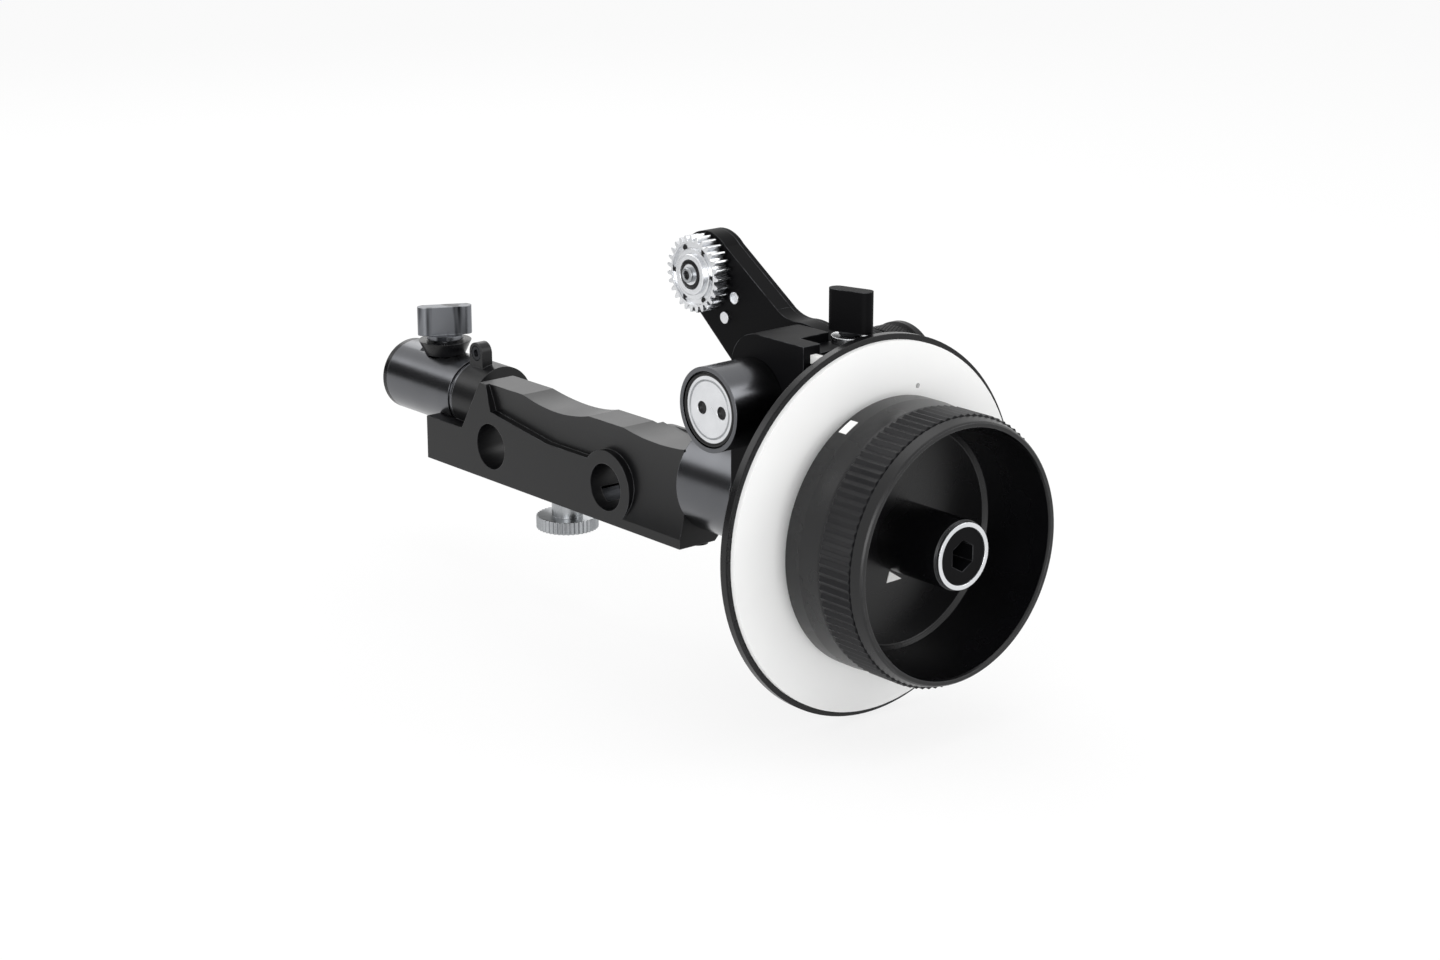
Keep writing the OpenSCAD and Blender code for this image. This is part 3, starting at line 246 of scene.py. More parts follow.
class StudioSettings(PropertyGroup):
    """Camera, lights and floor."""

    camera: FloatVectorProperty(
        name="Camera",
        description="Place of the camera",
        default=(0.6749, -0.5379, 0.2591),
        subtype="XYZ",
        unit="LENGTH",
    )
    target: FloatVectorProperty(
        name="Target",
        description="Point in the middle of the picture",
        default=(0.03606, 0.008, 0.00745),
        subtype="XYZ",
        unit="LENGTH",
    )
    lens: FloatProperty(
        name="Focal length",
        description="Focal length in millimetres on a 36 mm sensor",
        default=72.19,
        min=20,
        max=200,
    )
    floor_gap: FloatProperty(
        name="Floor gap",
        description="Distance of the floor below the unit",
        default=0.3 * MM,
        min=0.0,
        max=0.1,
        unit="LENGTH",
    )
    top_light: FloatProperty(
        name="Top light",
        description="Power of the overhead softbox in watts",
        default=1.6,
        min=0.0,
        max=200,
    )
    side_light: FloatProperty(
        name="Side light",
        description="Power of the softbox on the left in watts",
        default=1.2,
        min=0.0,
        max=200,
    )
    right_light: FloatProperty(
        name="Right light",
        description="Power of the softbox behind the hand-wheel's side in watts",
        default=1.8,
        min=0.0,
        max=200,
    )
    front_light: FloatProperty(
        name="Front light",
        description="Power of the softbox on the camera's side in watts",
        default=4.2,
        min=0.0,
        max=200,
    )
    back_light: FloatProperty(
        name="Back light",
        description="Power of the softbox behind the unit in watts",
        default=1.7,
        min=0.0,
        max=200,
    )


# ---- nodes ----


def linear(code):
    """An sRGB hex colour as linear RGBA."""
    parts = [int(code.lstrip("#")[i : i + 2], 16) / 255 for i in (0, 2, 4)]
    return tuple(
        c / 12.92 if c <= 0.04045 else ((c + 0.055) / 1.055) ** 2.4 for c in parts
    ) + (1.0,)


def add(tree, kind, settings=(), values=(), links=()):
    """Adds a node, sets its settings and input values, and links its inputs to other outputs."""
    made = tree.nodes.new("ShaderNode" + kind)
    for key, value in dict(settings).items():
        setattr(made, key, value)
    for key, value in dict(values).items():
        made.inputs[key].default_value = value
    for key, source in dict(links).items():
        tree.links.new(source, made.inputs[key])
    return made


def blank(name):
    """A material with an empty tree, its output and its object coordinates."""
    material = bpy.data.materials.new(name)
    material.use_nodes = True
    tree = material.node_tree
    tree.nodes.clear()
    out = add(tree, "OutputMaterial")
    place = add(tree, "TexCoord").outputs["Object"]
    return material, tree, out, place


def tint(tree, factor, low, high):
    """Blends two hex colours by a factor."""
    mix = add(tree, "Mix", {"data_type": "RGBA"}, links={"Factor": factor})
    mix.inputs["A"].default_value = linear(low)
    mix.inputs["B"].default_value = linear(high)
    return mix.outputs["Result"]


def spread(tree, value, low, high):
    """Maps 0..1 to low..high."""
    return add(
        tree,
        "MapRange",
        values={"To Min": low, "To Max": high},
        links={"Value": value},
    ).outputs["Result"]


def noise(tree, place, size, detail=3.0):
    """Noise whose blobs are about that many metres across."""
    return add(
        tree,
        "TexNoise",
        values={"Scale": 1 / size, "Detail": detail},
        links={"Vector": place},
    ).outputs["Fac"]


def rounded(tree, finish):
    """Normals that break a machined edge to a small radius."""
    return add(tree, "Bevel", {"samples": 6}, {"Radius": finish.edge_round}).outputs["Normal"]


def edge_wear_and_highlight(tree, soft, place, size):
    """A mask that is 1 on broken edges, in patches: where the edges are worn and where a
    highlight is painted on them.
    """
    flat = add(tree, "NewGeometry").outputs["Normal"]
    dot = add(
        tree,
        "VectorMath",
        {"operation": "DOT_PRODUCT"},
        links={0: soft, 1: flat},
    ).outputs["Value"]
    edge = add(
        tree,
        "MapRange",
        values={"From Min": 0.995, "From Max": 0.9},
        links={"Value": dot},
    ).outputs["Result"]
    patch = add(
        tree,
        "MapRange",
        values={"From Min": 0.35, "From Max": 0.65},
        links={"Value": noise(tree, place, size)},
    )
    return add(
        tree,
        "Math",
        {"operation": "MULTIPLY"},
        links={0: edge, 1: patch.outputs["Result"]},
    ).outputs["Value"]


def worn_and_highlit(tree, skin, wear_and_highlight, share, bare_and_highlight_colour):
    """The skin's colour, with a share of the bare colour where the edges are worn and where a
    highlight is painted on them.
    """
    colour = add(
        tree,
        "Mix",
        {"data_type": "RGBA"},
        links={"A": skin, "Factor": spread(tree, wear_and_highlight, 0.0, share)},
    )
    colour.inputs["B"].default_value = linear(bare_and_highlight_colour)
    return colour.outputs["Result"]


def stretched(tree, place, scale, turn=(0, 0, 0)):
    """Coordinates in which a pattern comes out drawn along the axis with the smallest scale."""
    return add(
        tree,
        "Mapping",
        {"vector_type": "POINT"},
        {"Scale": scale, "Rotation": turn},
        {"Vector": place},
    ).outputs["Vector"]


def round_tangent(tree, axis):
    """The direction round an axis, along which turned metal scatters least."""
    return add(tree, "Tangent", {"direction_type": "RADIAL", "axis": axis}).outputs["Tangent"]


def surface(tree, out, values, links):
    """The principled shader of a finish, linked to the material's output."""
    shader = add(tree, "BsdfPrincipled", values=values, links=links)
    tree.links.new(shader.outputs["BSDF"], out.inputs["Surface"])


def bump(tree, height, distance, strength, normal=None):
    """Turns a height into a normal."""
    links = {"Height": height}
    if normal is not None:
        links["Normal"] = normal
    return add(
        tree,
        "Bump",
        values={"Distance": distance, "Strength": strength},
        links=links,
    ).outputs["Normal"]


def rings(tree, place, centre, axis, pitch):
    """Turning marks: fine rings round an axis, as a wave of 0..1."""
    moved = add(
        tree,
        "Mapping",
        {"vector_type": "POINT"},
        {"Location": -Vector(centre)},
        {"Vector": place},
    ).outputs["Vector"]
    wave = add(
        tree,
        "TexWave",
        {"wave_type": "RINGS", "rings_direction": axis, "wave_profile": "SIN"},
        {"Scale": 0.314 / pitch, "Distortion": 0.4, "Detail": 1.0, "Detail Scale": 2.0},
        {"Vector": moved},
    )
    return wave.outputs["Fac"]


# ---- finishes ----


def blasted_black(finish, name, shine, rough, wear_and_highlight_share):
    """Bead-blasted aluminium, dyed black: a fine even grain, and broken edges painted brighter,
    as wear and as a painted highlight.
    """
    _, tree, out, place = blank(name)
    soft = rounded(tree, finish)
    mottle = noise(tree, place, 14 * MM)
    grain = noise(tree, place, finish.blast_grain, 2.0)
    # broken edges lightened in patches, as wear and as a painted highlight
    wear_and_highlight = edge_wear_and_highlight(tree, soft, place, 5 * MM)
    skin = tint(tree, mottle, finish.black, "#0C0C0E")
    colour = worn_and_highlit(tree, skin, wear_and_highlight, wear_and_highlight_share, BARE_AND_HIGHLIGHT_GREY)
    surface(
        tree,
        out,
        {"Specular IOR Level": shine, "Metallic": 0.0},
        {
            "Base Color": colour,
            "Roughness": spread(tree, mottle, *rough),
            "Normal": bump(tree, grain, 0.02 * MM, 0.35, soft),
        },
    )


def turned_black(finish, name, centre, axis, tones, metal, shine, rough, comb):
    """Lathe-turned aluminium in two dark tones: fine rings draw the light into wedges."""
    _, tree, out, place = blank(name)
    soft = rounded(tree, finish)
    marks = rings(tree, place, centre, axis, finish.turning_pitch)
    mottle = noise(tree, place, 18 * MM)
    # broken edges lightened in patches, as wear and as a painted highlight
    wear_and_highlight = edge_wear_and_highlight(tree, soft, place, 4 * MM)
    skin = tint(tree, mottle, *tones)
    colour = worn_and_highlit(tree, skin, wear_and_highlight, 0.3, BARE_AND_HIGHLIGHT_DARK)
    surface(
        tree,
        out,
        {"Specular IOR Level": shine, "Metallic": metal, "Anisotropic": comb},
        {
            "Base Color": colour,
            "Roughness": spread(tree, mottle, *rough),
            "Normal": bump(tree, marks, 0.01 * MM, 0.3, soft),
            "Tangent": round_tangent(tree, axis),
        },
    )


def knurled_black(finish):
    """Knurled aluminium, dyed black: the tips are rubbed a little lighter than the grooves."""
    _, tree, out, place = blank("KnurledBlackAnodisedAluminium")
    soft = rounded(tree, finish)
    tips = add(tree, "NewGeometry").outputs["Pointiness"]
    rub = add(
        tree,
        "MapRange",
        values={"From Min": 0.5, "From Max": 0.62},
        links={"Value": tips},
    ).outputs["Result"]
    mottle = noise(tree, place, 9 * MM)
    surface(
        tree,
        out,
        {"Specular IOR Level": 0.2},
        {
            "Base Color": tint(tree, rub, finish.wheel_black, "#141416"),
            "Roughness": spread(tree, mottle, 0.3, 0.45),
            "Normal": bump(tree, noise(tree, place, 0.4 * MM), 0.02 * MM, 0.3, soft),
        },
    )


def bright_turned(finish, name, centre, axis):
    """Turned aluminium, clear anodised: bright, with rings that glitter as the light turns."""
    _, tree, out, place = blank(name)
    soft = rounded(tree, finish)
    marks = rings(tree, place, centre, axis, finish.turning_pitch)
    mottle = noise(tree, place, 6 * MM)
    # broken edges lightened in patches, as wear and as a painted highlight
    wear_and_highlight = edge_wear_and_highlight(tree, soft, place, 2 * MM)
    skin = tint(tree, mottle, finish.silver, "#CFD1D4")
    colour = worn_and_highlit(tree, skin, wear_and_highlight, 0.5, BARE_AND_HIGHLIGHT_BRIGHT)
    surface(
        tree,
        out,
        {"Metallic": 1.0, "Anisotropic": 0.35},
        {
            "Base Color": colour,
            "Roughness": spread(tree, mottle, 0.2, 0.32),
            "Normal": bump(tree, marks, 0.012 * MM, 0.35, soft),
            "Tangent": round_tangent(tree, axis),
        },
    )


def ground_steel(finish, name, light, dark):
    """Ground steel, bare or blackened: short fine scratches and an oily patch here and there."""
    _, tree, out, place = blank(name)
    soft = rounded(tree, finish)
    scratch = noise(tree, stretched(tree, place, (1, 0.08, 1)), 0.3 * MM, 2.0)
    oil = noise(tree, place, 5 * MM)
    surface(
        tree,
        out,
        {"Metallic": 1.0},
        {
            "Base Color": tint(tree, scratch, light, dark),
            "Roughness": spread(tree, oil, 0.22, 0.42),
            "Normal": bump(tree, scratch, 0.01 * MM, 0.3, soft),
        },
    )


def lever_painted_reflection(finish):
    """A black lever with upright grey and dark bands painted on as a reflection."""
    _, tree, out, place = blank("RubbedBlackLever")
    soft = rounded(tree, finish)
    band = noise(tree, stretched(tree, place, (1, 1, 0.1)), 4 * MM, 2.0)
    sharp = add(
        tree,
        "MapRange",
        values={"From Min": 0.38, "From Max": 0.52},
        links={"Value": band},
    ).outputs["Result"]
    grain = noise(tree, place, finish.blast_grain, 2.0)
    surface(
        tree,
        out,
        {"Metallic": 1.0},
        {
            # upright grey and dark bands: a painted reflection
            "Base Color": tint(tree, sharp, "#232427", "#74767A"),
            "Roughness": spread(tree, band, 0.28, 0.4),
            "Normal": bump(tree, grain, 0.02 * MM, 0.3, soft),
        },
    )


def bearing_bronze(finish):
    """Bearing bronze: dull yellow, darker where oil has soaked in."""
    _, tree, out, place = blank("BearingBronze")
    soft = rounded(tree, finish)
    stain = noise(tree, place, 3 * MM)
    surface(
        tree,
        out,
        {"Metallic": 1.0},
        {
            "Base Color": tint(tree, stain, finish.bronze, "#7E6136"),
            "Roughness": spread(tree, stain, 0.3, 0.5),
            "Normal": bump(tree, noise(tree, place, 0.3 * MM), 0.01 * MM, 0.3, soft),
        },
    )


def black_enamel(finish):
    """Black stoving enamel: smooth and semi-gloss, with a faint orange peel."""
    _, tree, out, place = blank("BlackEnamel")
    soft = rounded(tree, finish)
    peel = noise(tree, place, 0.9 * MM, 1.0)
    dust = noise(tree, place, 7 * MM)
    surface(
        tree,
        out,
        {"Specular IOR Level": 0.3},
        {
            "Base Color": tint(tree, dust, "#060607", "#0D0D0F"),
            "Roughness": spread(tree, dust, 0.2, 0.34),
            "Normal": bump(tree, peel, 0.02 * MM, 0.2, soft),
        },
    )


def writing_white(finish):
    """Matt white writing plastic, often wiped clean: faint grey hazes and hairline marks."""
    _, tree, out, place = blank("WhiteWritingPlastic")
    haze = noise(tree, place, 16 * MM, 4.0)
    hair = noise(tree, stretched(tree, place, (1, 1, 0.12), (0.5, 0, 0)), 0.6 * MM, 2.0)
    surface(
        tree,
        out,
        {"Specular IOR Level": 0.4},
        {
            "Base Color": tint(tree, spread(tree, haze, 0.0, 0.4), finish.disc_white, "#E7E8E9"),
            "Roughness": spread(tree, hair, 0.38, 0.52),
            "Normal": bump(tree, hair, 0.01 * MM, 0.12),
        },
    )


def white_fill():
    """White paint wiped into a recess: slightly uneven, matt."""
    _, tree, out, place = blank("WhitePaintFill")
    blot = noise(tree, place, 0.8 * MM)
    surface(
        tree,
        out,
        {},
        {
            "Base Color": tint(tree, blot, "#FBFBFA", "#E9E9E7"),
            "Roughness": spread(tree, blot, 0.4, 0.6),
            "Normal": bump(tree, blot, 0.03 * MM, 0.25),
        },
    )


def seen(tree, *kinds):
    """1 for the camera's rays and for the other kinds of ray named, 0 for the rest."""
    path = add(tree, "LightPath")
    value = path.outputs["Is Camera Ray"]
    for kind in kinds:
        value = add(
            tree,
            "Math",
            {"operation": "MAXIMUM"},
            links={0: value, 1: path.outputs[kind]},
        ).outputs["Value"]
    return value


def give(obj, material):
    """Puts one material on a whole object."""
    obj.data.materials.clear()
    obj.data.materials.append(material)


# ---- modelling ----


def fresh():
    """Object mode, with nothing selected."""
    if bpy.context.object is not None and bpy.context.object.mode != "OBJECT":
        bpy.ops.object.mode_set(mode="OBJECT")
    bpy.ops.object.select_all(action="DESELECT")


def begin(name, add_primitive, **settings):
    """Adds a primitive and leaves it in edit mode with nothing selected."""
    fresh()
    add_primitive(**settings)
    obj = bpy.context.object
    obj.name = name
    bpy.ops.object.mode_set(mode="EDIT")
    bpy.ops.mesh.select_mode(type="FACE")
    bpy.ops.mesh.select_all(action="DESELECT")
    return obj


def pick(obj, test, kind="faces"):
    """Selects the faces, edges or vertices that pass a test, and nothing else."""
    bpy.ops.mesh.select_mode(type={"faces": "FACE", "edges": "EDGE", "verts": "VERT"}[kind])
    bpy.ops.mesh.select_all(action="DESELECT")
    mesh = bmesh.from_edit_mesh(obj.data)
    found = [e for e in getattr(mesh, kind) if test(e)]
    for e in found:
        e.select_set(True)
    mesh.select_flush_mode()
    bmesh.update_edit_mesh(obj.data)
    if not found:
        raise RuntimeError(f"{obj.name}: nothing to select")


def done(obj, body, material, angle=35):
    """Leaves edit mode, puts the object's place into its mesh, and lets it ride on its body."""
    bpy.ops.mesh.select_all(action="SELECT")
    bpy.ops.mesh.normals_make_consistent(inside=False)
    fresh()
    obj.select_set(True)
    bpy.context.view_layer.objects.active = obj
    bpy.ops.object.transform_apply(location=True, rotation=True, scale=True)
    bpy.ops.object.shade_smooth_by_angle(angle=math.radians(angle))
    give(obj, material)
    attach(obj, body)
    fresh()
    return obj


def front_face(verts):
    """Tests for the flat round face at the front of a turned piece, by its number of corners."""
    return lambda f: f.normal.z > 0.9 and len(f.verts) == verts


def every(_):
    """Passes every vertex."""
    return True


def turned_cap(name, place, turn, radius, depth, steps, verts=96):
    """A turned disc on its back face, with steps of (inset, height) worked into its front."""
    obj = begin(
        name,
        bpy.ops.mesh.primitive_cylinder_add,
        vertices=verts,
        radius=radius,
        depth=depth,
        location=place,
        rotation=turn,
    )
    for inset, height in steps:
        pick(obj, front_face(verts))
        bpy.ops.mesh.inset(thickness=inset, depth=height)
    return obj


def finishes_of(scene):
    """The finishes, made once and kept by name."""
    finish = scene.follow_focus_finish
    made = {
        "blast": "BlastedBlackAnodisedAluminium",
        "deep": "HardBlackAnodisedAluminium",
        "lever": "RubbedBlackLever",
        "knurl": "KnurledBlackAnodisedAluminium",
        "steel": "GroundSteel",
        "black_steel": "BlackOxideSteel",
        "bronze": "BearingBronze",
        "enamel": "BlackEnamel",
        "disc": "WhiteWritingPlastic",
        "fill": "WhitePaintFill",
        "wheel": "TurnedBlackWheel",
        "barrel": "TurnedBlackBarrel",
        "snout": "TurnedBlackSnout",
        "hub_ring": "BrightTurnedHubRing",
        "lens": "BrightTurnedLensGear",
        "port": "BrightTurnedPort",
        "collar": "BrightTurnedCollar",
    }
    if made["blast"] not in bpy.data.materials:
        blasted_black(finish, made["blast"], shine=0.3, rough=(0.28, 0.38), wear_and_highlight_share=0.35)
        # the hard black gets a large share: its broken edges are painted bright as a highlight
        # line, and as wear
        blasted_black(finish, made["deep"], shine=0.06, rough=(0.46, 0.58), wear_and_highlight_share=0.6)
        lever_painted_reflection(finish)
        knurled_black(finish)
        ground_steel(finish, made["steel"], finish.steel, "#8E9194")
        ground_steel(finish, made["black_steel"], "#3A3B3E", "#1C1D1F")
        bearing_bronze(finish)
        black_enamel(finish)
        writing_white(finish)
        white_fill()
        dyed = {
            "tones": (finish.wheel_black, "#0B0B0D"),
            "metal": 0.0,
            "shine": 0.42,
            "rough": (0.22, 0.32),
            "comb": 0.8,
        }
        satin = {
            "tones": ("#6A6B6E", "#56575A"),
            "metal": 1.0,
            "shine": 0.5,
            "rough": (0.2, 0.28),
            "comb": 0.4,
        }
        turned_black(finish, made["wheel"], wheel_axis, "X", **dyed)
        turned_black(finish, made["barrel"], wheel_axis, "X", **satin)
        turned_black(finish, made["snout"], drive_axis, "Y", **satin)
        bright_turned(finish, made["hub_ring"], wheel_axis, "X")
        bright_turned(finish, made["lens"], lens_axis, "Y")
        bright_turned(finish, made["port"], drive_axis, "Y")
        bright_turned(finish, made["collar"], middle("lock_collar"), "Z")
    return {key: bpy.data.materials[name] for key, name in made.items()}


# which finish each machined node has
NODE_FINISH = {
    "blast": ["bridge_bar"],
    "deep": [
        "gearbox_housing",
        "rear_cover",
        "arm_body",
        "arm_cover",
        "arm_lock_lever",
        "lock_plate",
        "crank_socket",
    ],
    "lever": ["barrel_lever"],
    "barrel": ["clamp_barrel", "neck_tube"],
    "snout": ["port_snout"],
    "wheel": ["handwheel", "wheel_hub"],
    "knurl": ["grip_ring", "rear_knob"],
    "enamel": ["barrel_end_ring", "barrel_collar", "neck_clamp_screws", "disc_backing"],
    "black_steel": ["ear_screw", "arm_pins", "rod_clamp_shoe"],
    "steel": [
        "rod_clamp_knob",
        "neck_spigot",
        "cover_screws",
        "wheel_bearings",
        "drive_shaft",
        "middle_pin",
        "lower_shaft",
        "bevel_gear",
        "bevel_pinion",
        "wheel_shaft",
        "sun_gear",
        "arm_idler_a",
        "arm_idler_b",
        "spindle_gear",
        "lens_spindle",
        "retaining_screw",
    ],
    "bronze": [
        "barrel_clamp_shoe",
        "shaft_bushes",
        "arm_bushes",
        "drive_gear",
        "middle_gear",
        "lower_gear",
        "arm_brake_shoe",
    ],
    "disc": ["marking_disc"],
    "fill": ["index_pointer", "wheel_marks"],
    "hub_ring": ["hub_ring"],
    "lens": ["lens_gear", "arm_screws"],
    "port": ["drive_port_disc"],
    "collar": ["lock_collar"],
}


class FOLLOWFOCUS_OT_finishes(Operator):
    """Give every machined node its finish"""

    bl_idname = "follow_focus.finishes"
    bl_label = "Finish the machined parts"

    def execute(self, context):
        made = finishes_of(context.scene)
        left = set(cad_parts)
        for key, nodes in NODE_FINISH.items():
            for node in nodes:
                give(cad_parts[node], made[key])
                left.discard(node)
        if left:
            raise RuntimeError(f"no finish for {sorted(left)}")
        return {"FINISHED"}


class FOLLOWFOCUS_OT_lens_gear_cap(Operator):
    """Washer and centre screw on the lens gear, with black pieces laid into its groove, socket
    and blind holes as painted shade
    """

    bl_idname = "follow_focus.lens_gear_cap"
    bl_label = "Lens gear cap"

    def execute(self, context):
        made = finishes_of(context.scene)
        detail = context.scene.follow_focus_detail
        low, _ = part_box("lens_gear")
        face = low.y
        cap = turned_cap(
            "lens_gear_washer",
            (lens_axis.x, face - 0.35 * MM, lens_axis.z),
            TO_FRONT,
            radius=detail.cap_radius,
            depth=0.9 * MM,
            steps=WASHER_STEPS,
        )
        done(cap, "lens_drive", made["lens"])
        screw_verts = 48
        screw = turned_cap(
            "lens_gear_screw",
            (lens_axis.x, face - 1.3 * MM, lens_axis.z),
            TO_FRONT,
            radius=2.3 * MM,
            depth=1.6 * MM,
            steps=LENS_SCREW_STEPS,
            verts=screw_verts,
        )
        pick(screw, front_face(screw_verts))
        bpy.ops.mesh.inset(thickness=0.35 * MM, depth=-0.9 * MM)
        done(screw, "lens_drive", made["steel"])
        # a black ring laid into the washer's groove: painted shade
        groove_shade_place = (lens_axis.x, face - 0.75 * MM, lens_axis.z)
        groove_shade = begin(
            "lens_gear_well",
            bpy.ops.mesh.primitive_torus_add,
            major_radius=3.5 * MM,
            minor_radius=0.75 * MM,
            major_segments=72,
            minor_segments=10,
            location=groove_shade_place,
            rotation=TO_FRONT,
        )
        pick(groove_shade, every, "verts")
        bpy.ops.transform.resize(value=(1, 0.5, 1), center_override=groove_shade_place)
        done(groove_shade, "lens_drive", made["enamel"])
        # a black hexagon lining the screw's socket: painted shade
        socket = turned_cap(
            "lens_gear_socket",
            (lens_axis.x, face - 1.75 * MM, lens_axis.z),
            TO_FRONT,
            radius=1.25 * MM,
            depth=0.7 * MM,
            steps=LENS_SOCKET_STEPS,
            verts=6,
        )
        done(socket, "lens_drive", made["enamel"])
        # black cups at the bottom of the blind holes: painted shade
        hole_ring = detail.cap_radius + 2.2 * MM
        for i in range(detail.cap_holes):
            a = 2 * math.pi * i / detail.cap_holes
            hole_shade = turned_cap(
                f"lens_gear_hole_{i + 1}",
                (
                    lens_axis.x + hole_ring * math.cos(a),
                    face + 0.75 * MM,
                    lens_axis.z + hole_ring * math.sin(a),
                ),
                TO_FRONT,
                radius=0.75 * MM,
                depth=0.5 * MM,
                steps=LENS_HOLE_STEPS,
                verts=20,
            )
            done(hole_shade, "lens_drive", made["enamel"])
        return {"FINISHED"}


class FOLLOWFOCUS_OT_port_face(Operator):
    """Two rings on the drive port's disc, and black linings in its pin holes as painted shade"""

    bl_idname = "follow_focus.port_face"
    bl_label = "Drive port rings"

    def execute(self, context):
        made = finishes_of(context.scene)
        detail = context.scene.follow_focus_detail
        low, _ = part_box("drive_port_disc")
        for name, radius, thick in (
            ("port_outer_ring", detail.port_ring + 1.85 * MM, 0.6 * MM),
            ("port_inner_ring", detail.port_ring, 0.3 * MM),
        ):
            ring = begin(
                name,
                bpy.ops.mesh.primitive_torus_add,
                major_radius=radius,
                minor_radius=thick,
                major_segments=96,
                minor_segments=12,
                location=(drive_axis.x, low.y + 0.02 * MM, drive_axis.z),
                rotation=TO_FRONT,
            )
            pick(ring, every, "verts")
            bpy.ops.transform.resize(
                value=(1, 0.6, 1),
                center_override=(drive_axis.x, low.y, drive_axis.z),
            )
            if name == "port_outer_ring":
                done(ring, "drive", made["enamel"])
            else:
                done(ring, "drive", made["steel"])
        # black cups lining the pin holes: painted shade
        for name, offset in PORT_HOLES:
            hole_shade = turned_cap(
                name,
                (drive_axis.x + offset, low.y + 0.95 * MM, drive_axis.z),
                TO_FRONT,
                radius=1.88 * MM,
                depth=0.8 * MM,
                steps=PORT_HOLE_STEPS,
                verts=40,
            )
            done(hole_shade, "drive", made["enamel"])
        return {"FINISHED"}


class FOLLOWFOCUS_OT_rear_knob(Operator):
    """Diamond-knurled knob behind the gearbox"""

    bl_idname = "follow_focus.rear_knob"
    bl_label = "Rear knob"

    def execute(self, context):
        made = finishes_of(context.scene)
        detail = context.scene.follow_focus_detail
        low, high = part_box("rear_knob")
        radius = (high.x - low.x) / 2
        centre = middle("rear_knob")
        count = detail.knurl_count
        end_length = 3.4 * MM
        grip_length = (high.y - low.y) - end_length
        core = radius - 1.3 * MM
        rows = 8
        knob = begin(
            "rear_knob_knurled",
            bpy.ops.mesh.primitive_cylinder_add,
            vertices=count * 2,
            radius=core,
            depth=grip_length,
            location=(centre.x, low.y + grip_length / 2 + 0.2 * MM, centre.z),
            rotation=TO_REAR,
        )
        # cut the grip into rows by pulling its front face forward, one row at a time
        pick(knob, lambda v: v.co.z > 0, "verts")
        bpy.ops.transform.translate(value=(0, -grip_length * (rows - 1) / rows, 0))
        for _ in range(rows - 1):
            pick(knob, front_face(count * 2))
            bpy.ops.mesh.extrude_region_move(
                TRANSFORM_OT_translate={"value": (0, grip_length / rows, 0)},
            )
        mesh = bmesh.from_edit_mesh(knob.data)
        mesh.normal_update()
        step = grip_length / rows
        base = min(v.co.z for v in mesh.verts)

        def is_point(v):
            row = round((v.co.z - base) / step)
            column = round(math.atan2(v.co.y, v.co.x) / (math.pi / count))
            return 0 < row < rows and (row + column) % 2 == 0 and v.co.xy.length > radius - 2 * MM

        pick(knob, is_point, "verts")
        grow = 1 + detail.knurl_depth / core
        bpy.ops.transform.resize(
            value=(grow, 1, grow),
            center_override=(centre.x, centre.y, centre.z),
        )
        # a collar with a broken edge and a sunk face closes the knob
        pick(knob, front_face(count * 2))
        for scale, move in KNOB_END:
            bpy.ops.mesh.extrude_region_move(TRANSFORM_OT_translate={"value": (0, move * MM, 0)})
            bpy.ops.transform.resize(
                value=(scale, 1, scale),
                center_override=(centre.x, centre.y, centre.z),
            )
        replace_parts(done(knob, "drive", made["knurl"], 25), "rear_knob")
        return {"FINISHED"}


class FOLLOWFOCUS_OT_small_screws(Operator):
    """Heads of the rear cover's socket screws"""

    bl_idname = "follow_focus.small_screws"
    bl_label = "Small screws"

    def execute(self, context):
        made = finishes_of(context.scene)
        low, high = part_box("cover_screws")
        r = 2.2 * MM
        head_verts = 30
        for i, (x, z) in enumerate(
            [(low.x, low.z), (low.x, high.z), (high.x, low.z), (high.x, high.z)],
        ):
            place = (
                x + r if x == low.x else x - r,
                high.y + 0.25 * MM,
                z + r if z == low.z else z - r,
            )
            head = turned_cap(
                f"cover_screw_head_{i + 1}",
                place,
                TO_REAR,
                radius=2.1 * MM,
                depth=0.7 * MM,
                steps=COVER_SCREW_STEPS,
                verts=head_verts,
            )
            pick(head, front_face(head_verts))
            bpy.ops.mesh.inset(thickness=0.2 * MM, depth=-0.8 * MM)
            done(head, "frame", made["steel"])
        return {"FINISHED"}


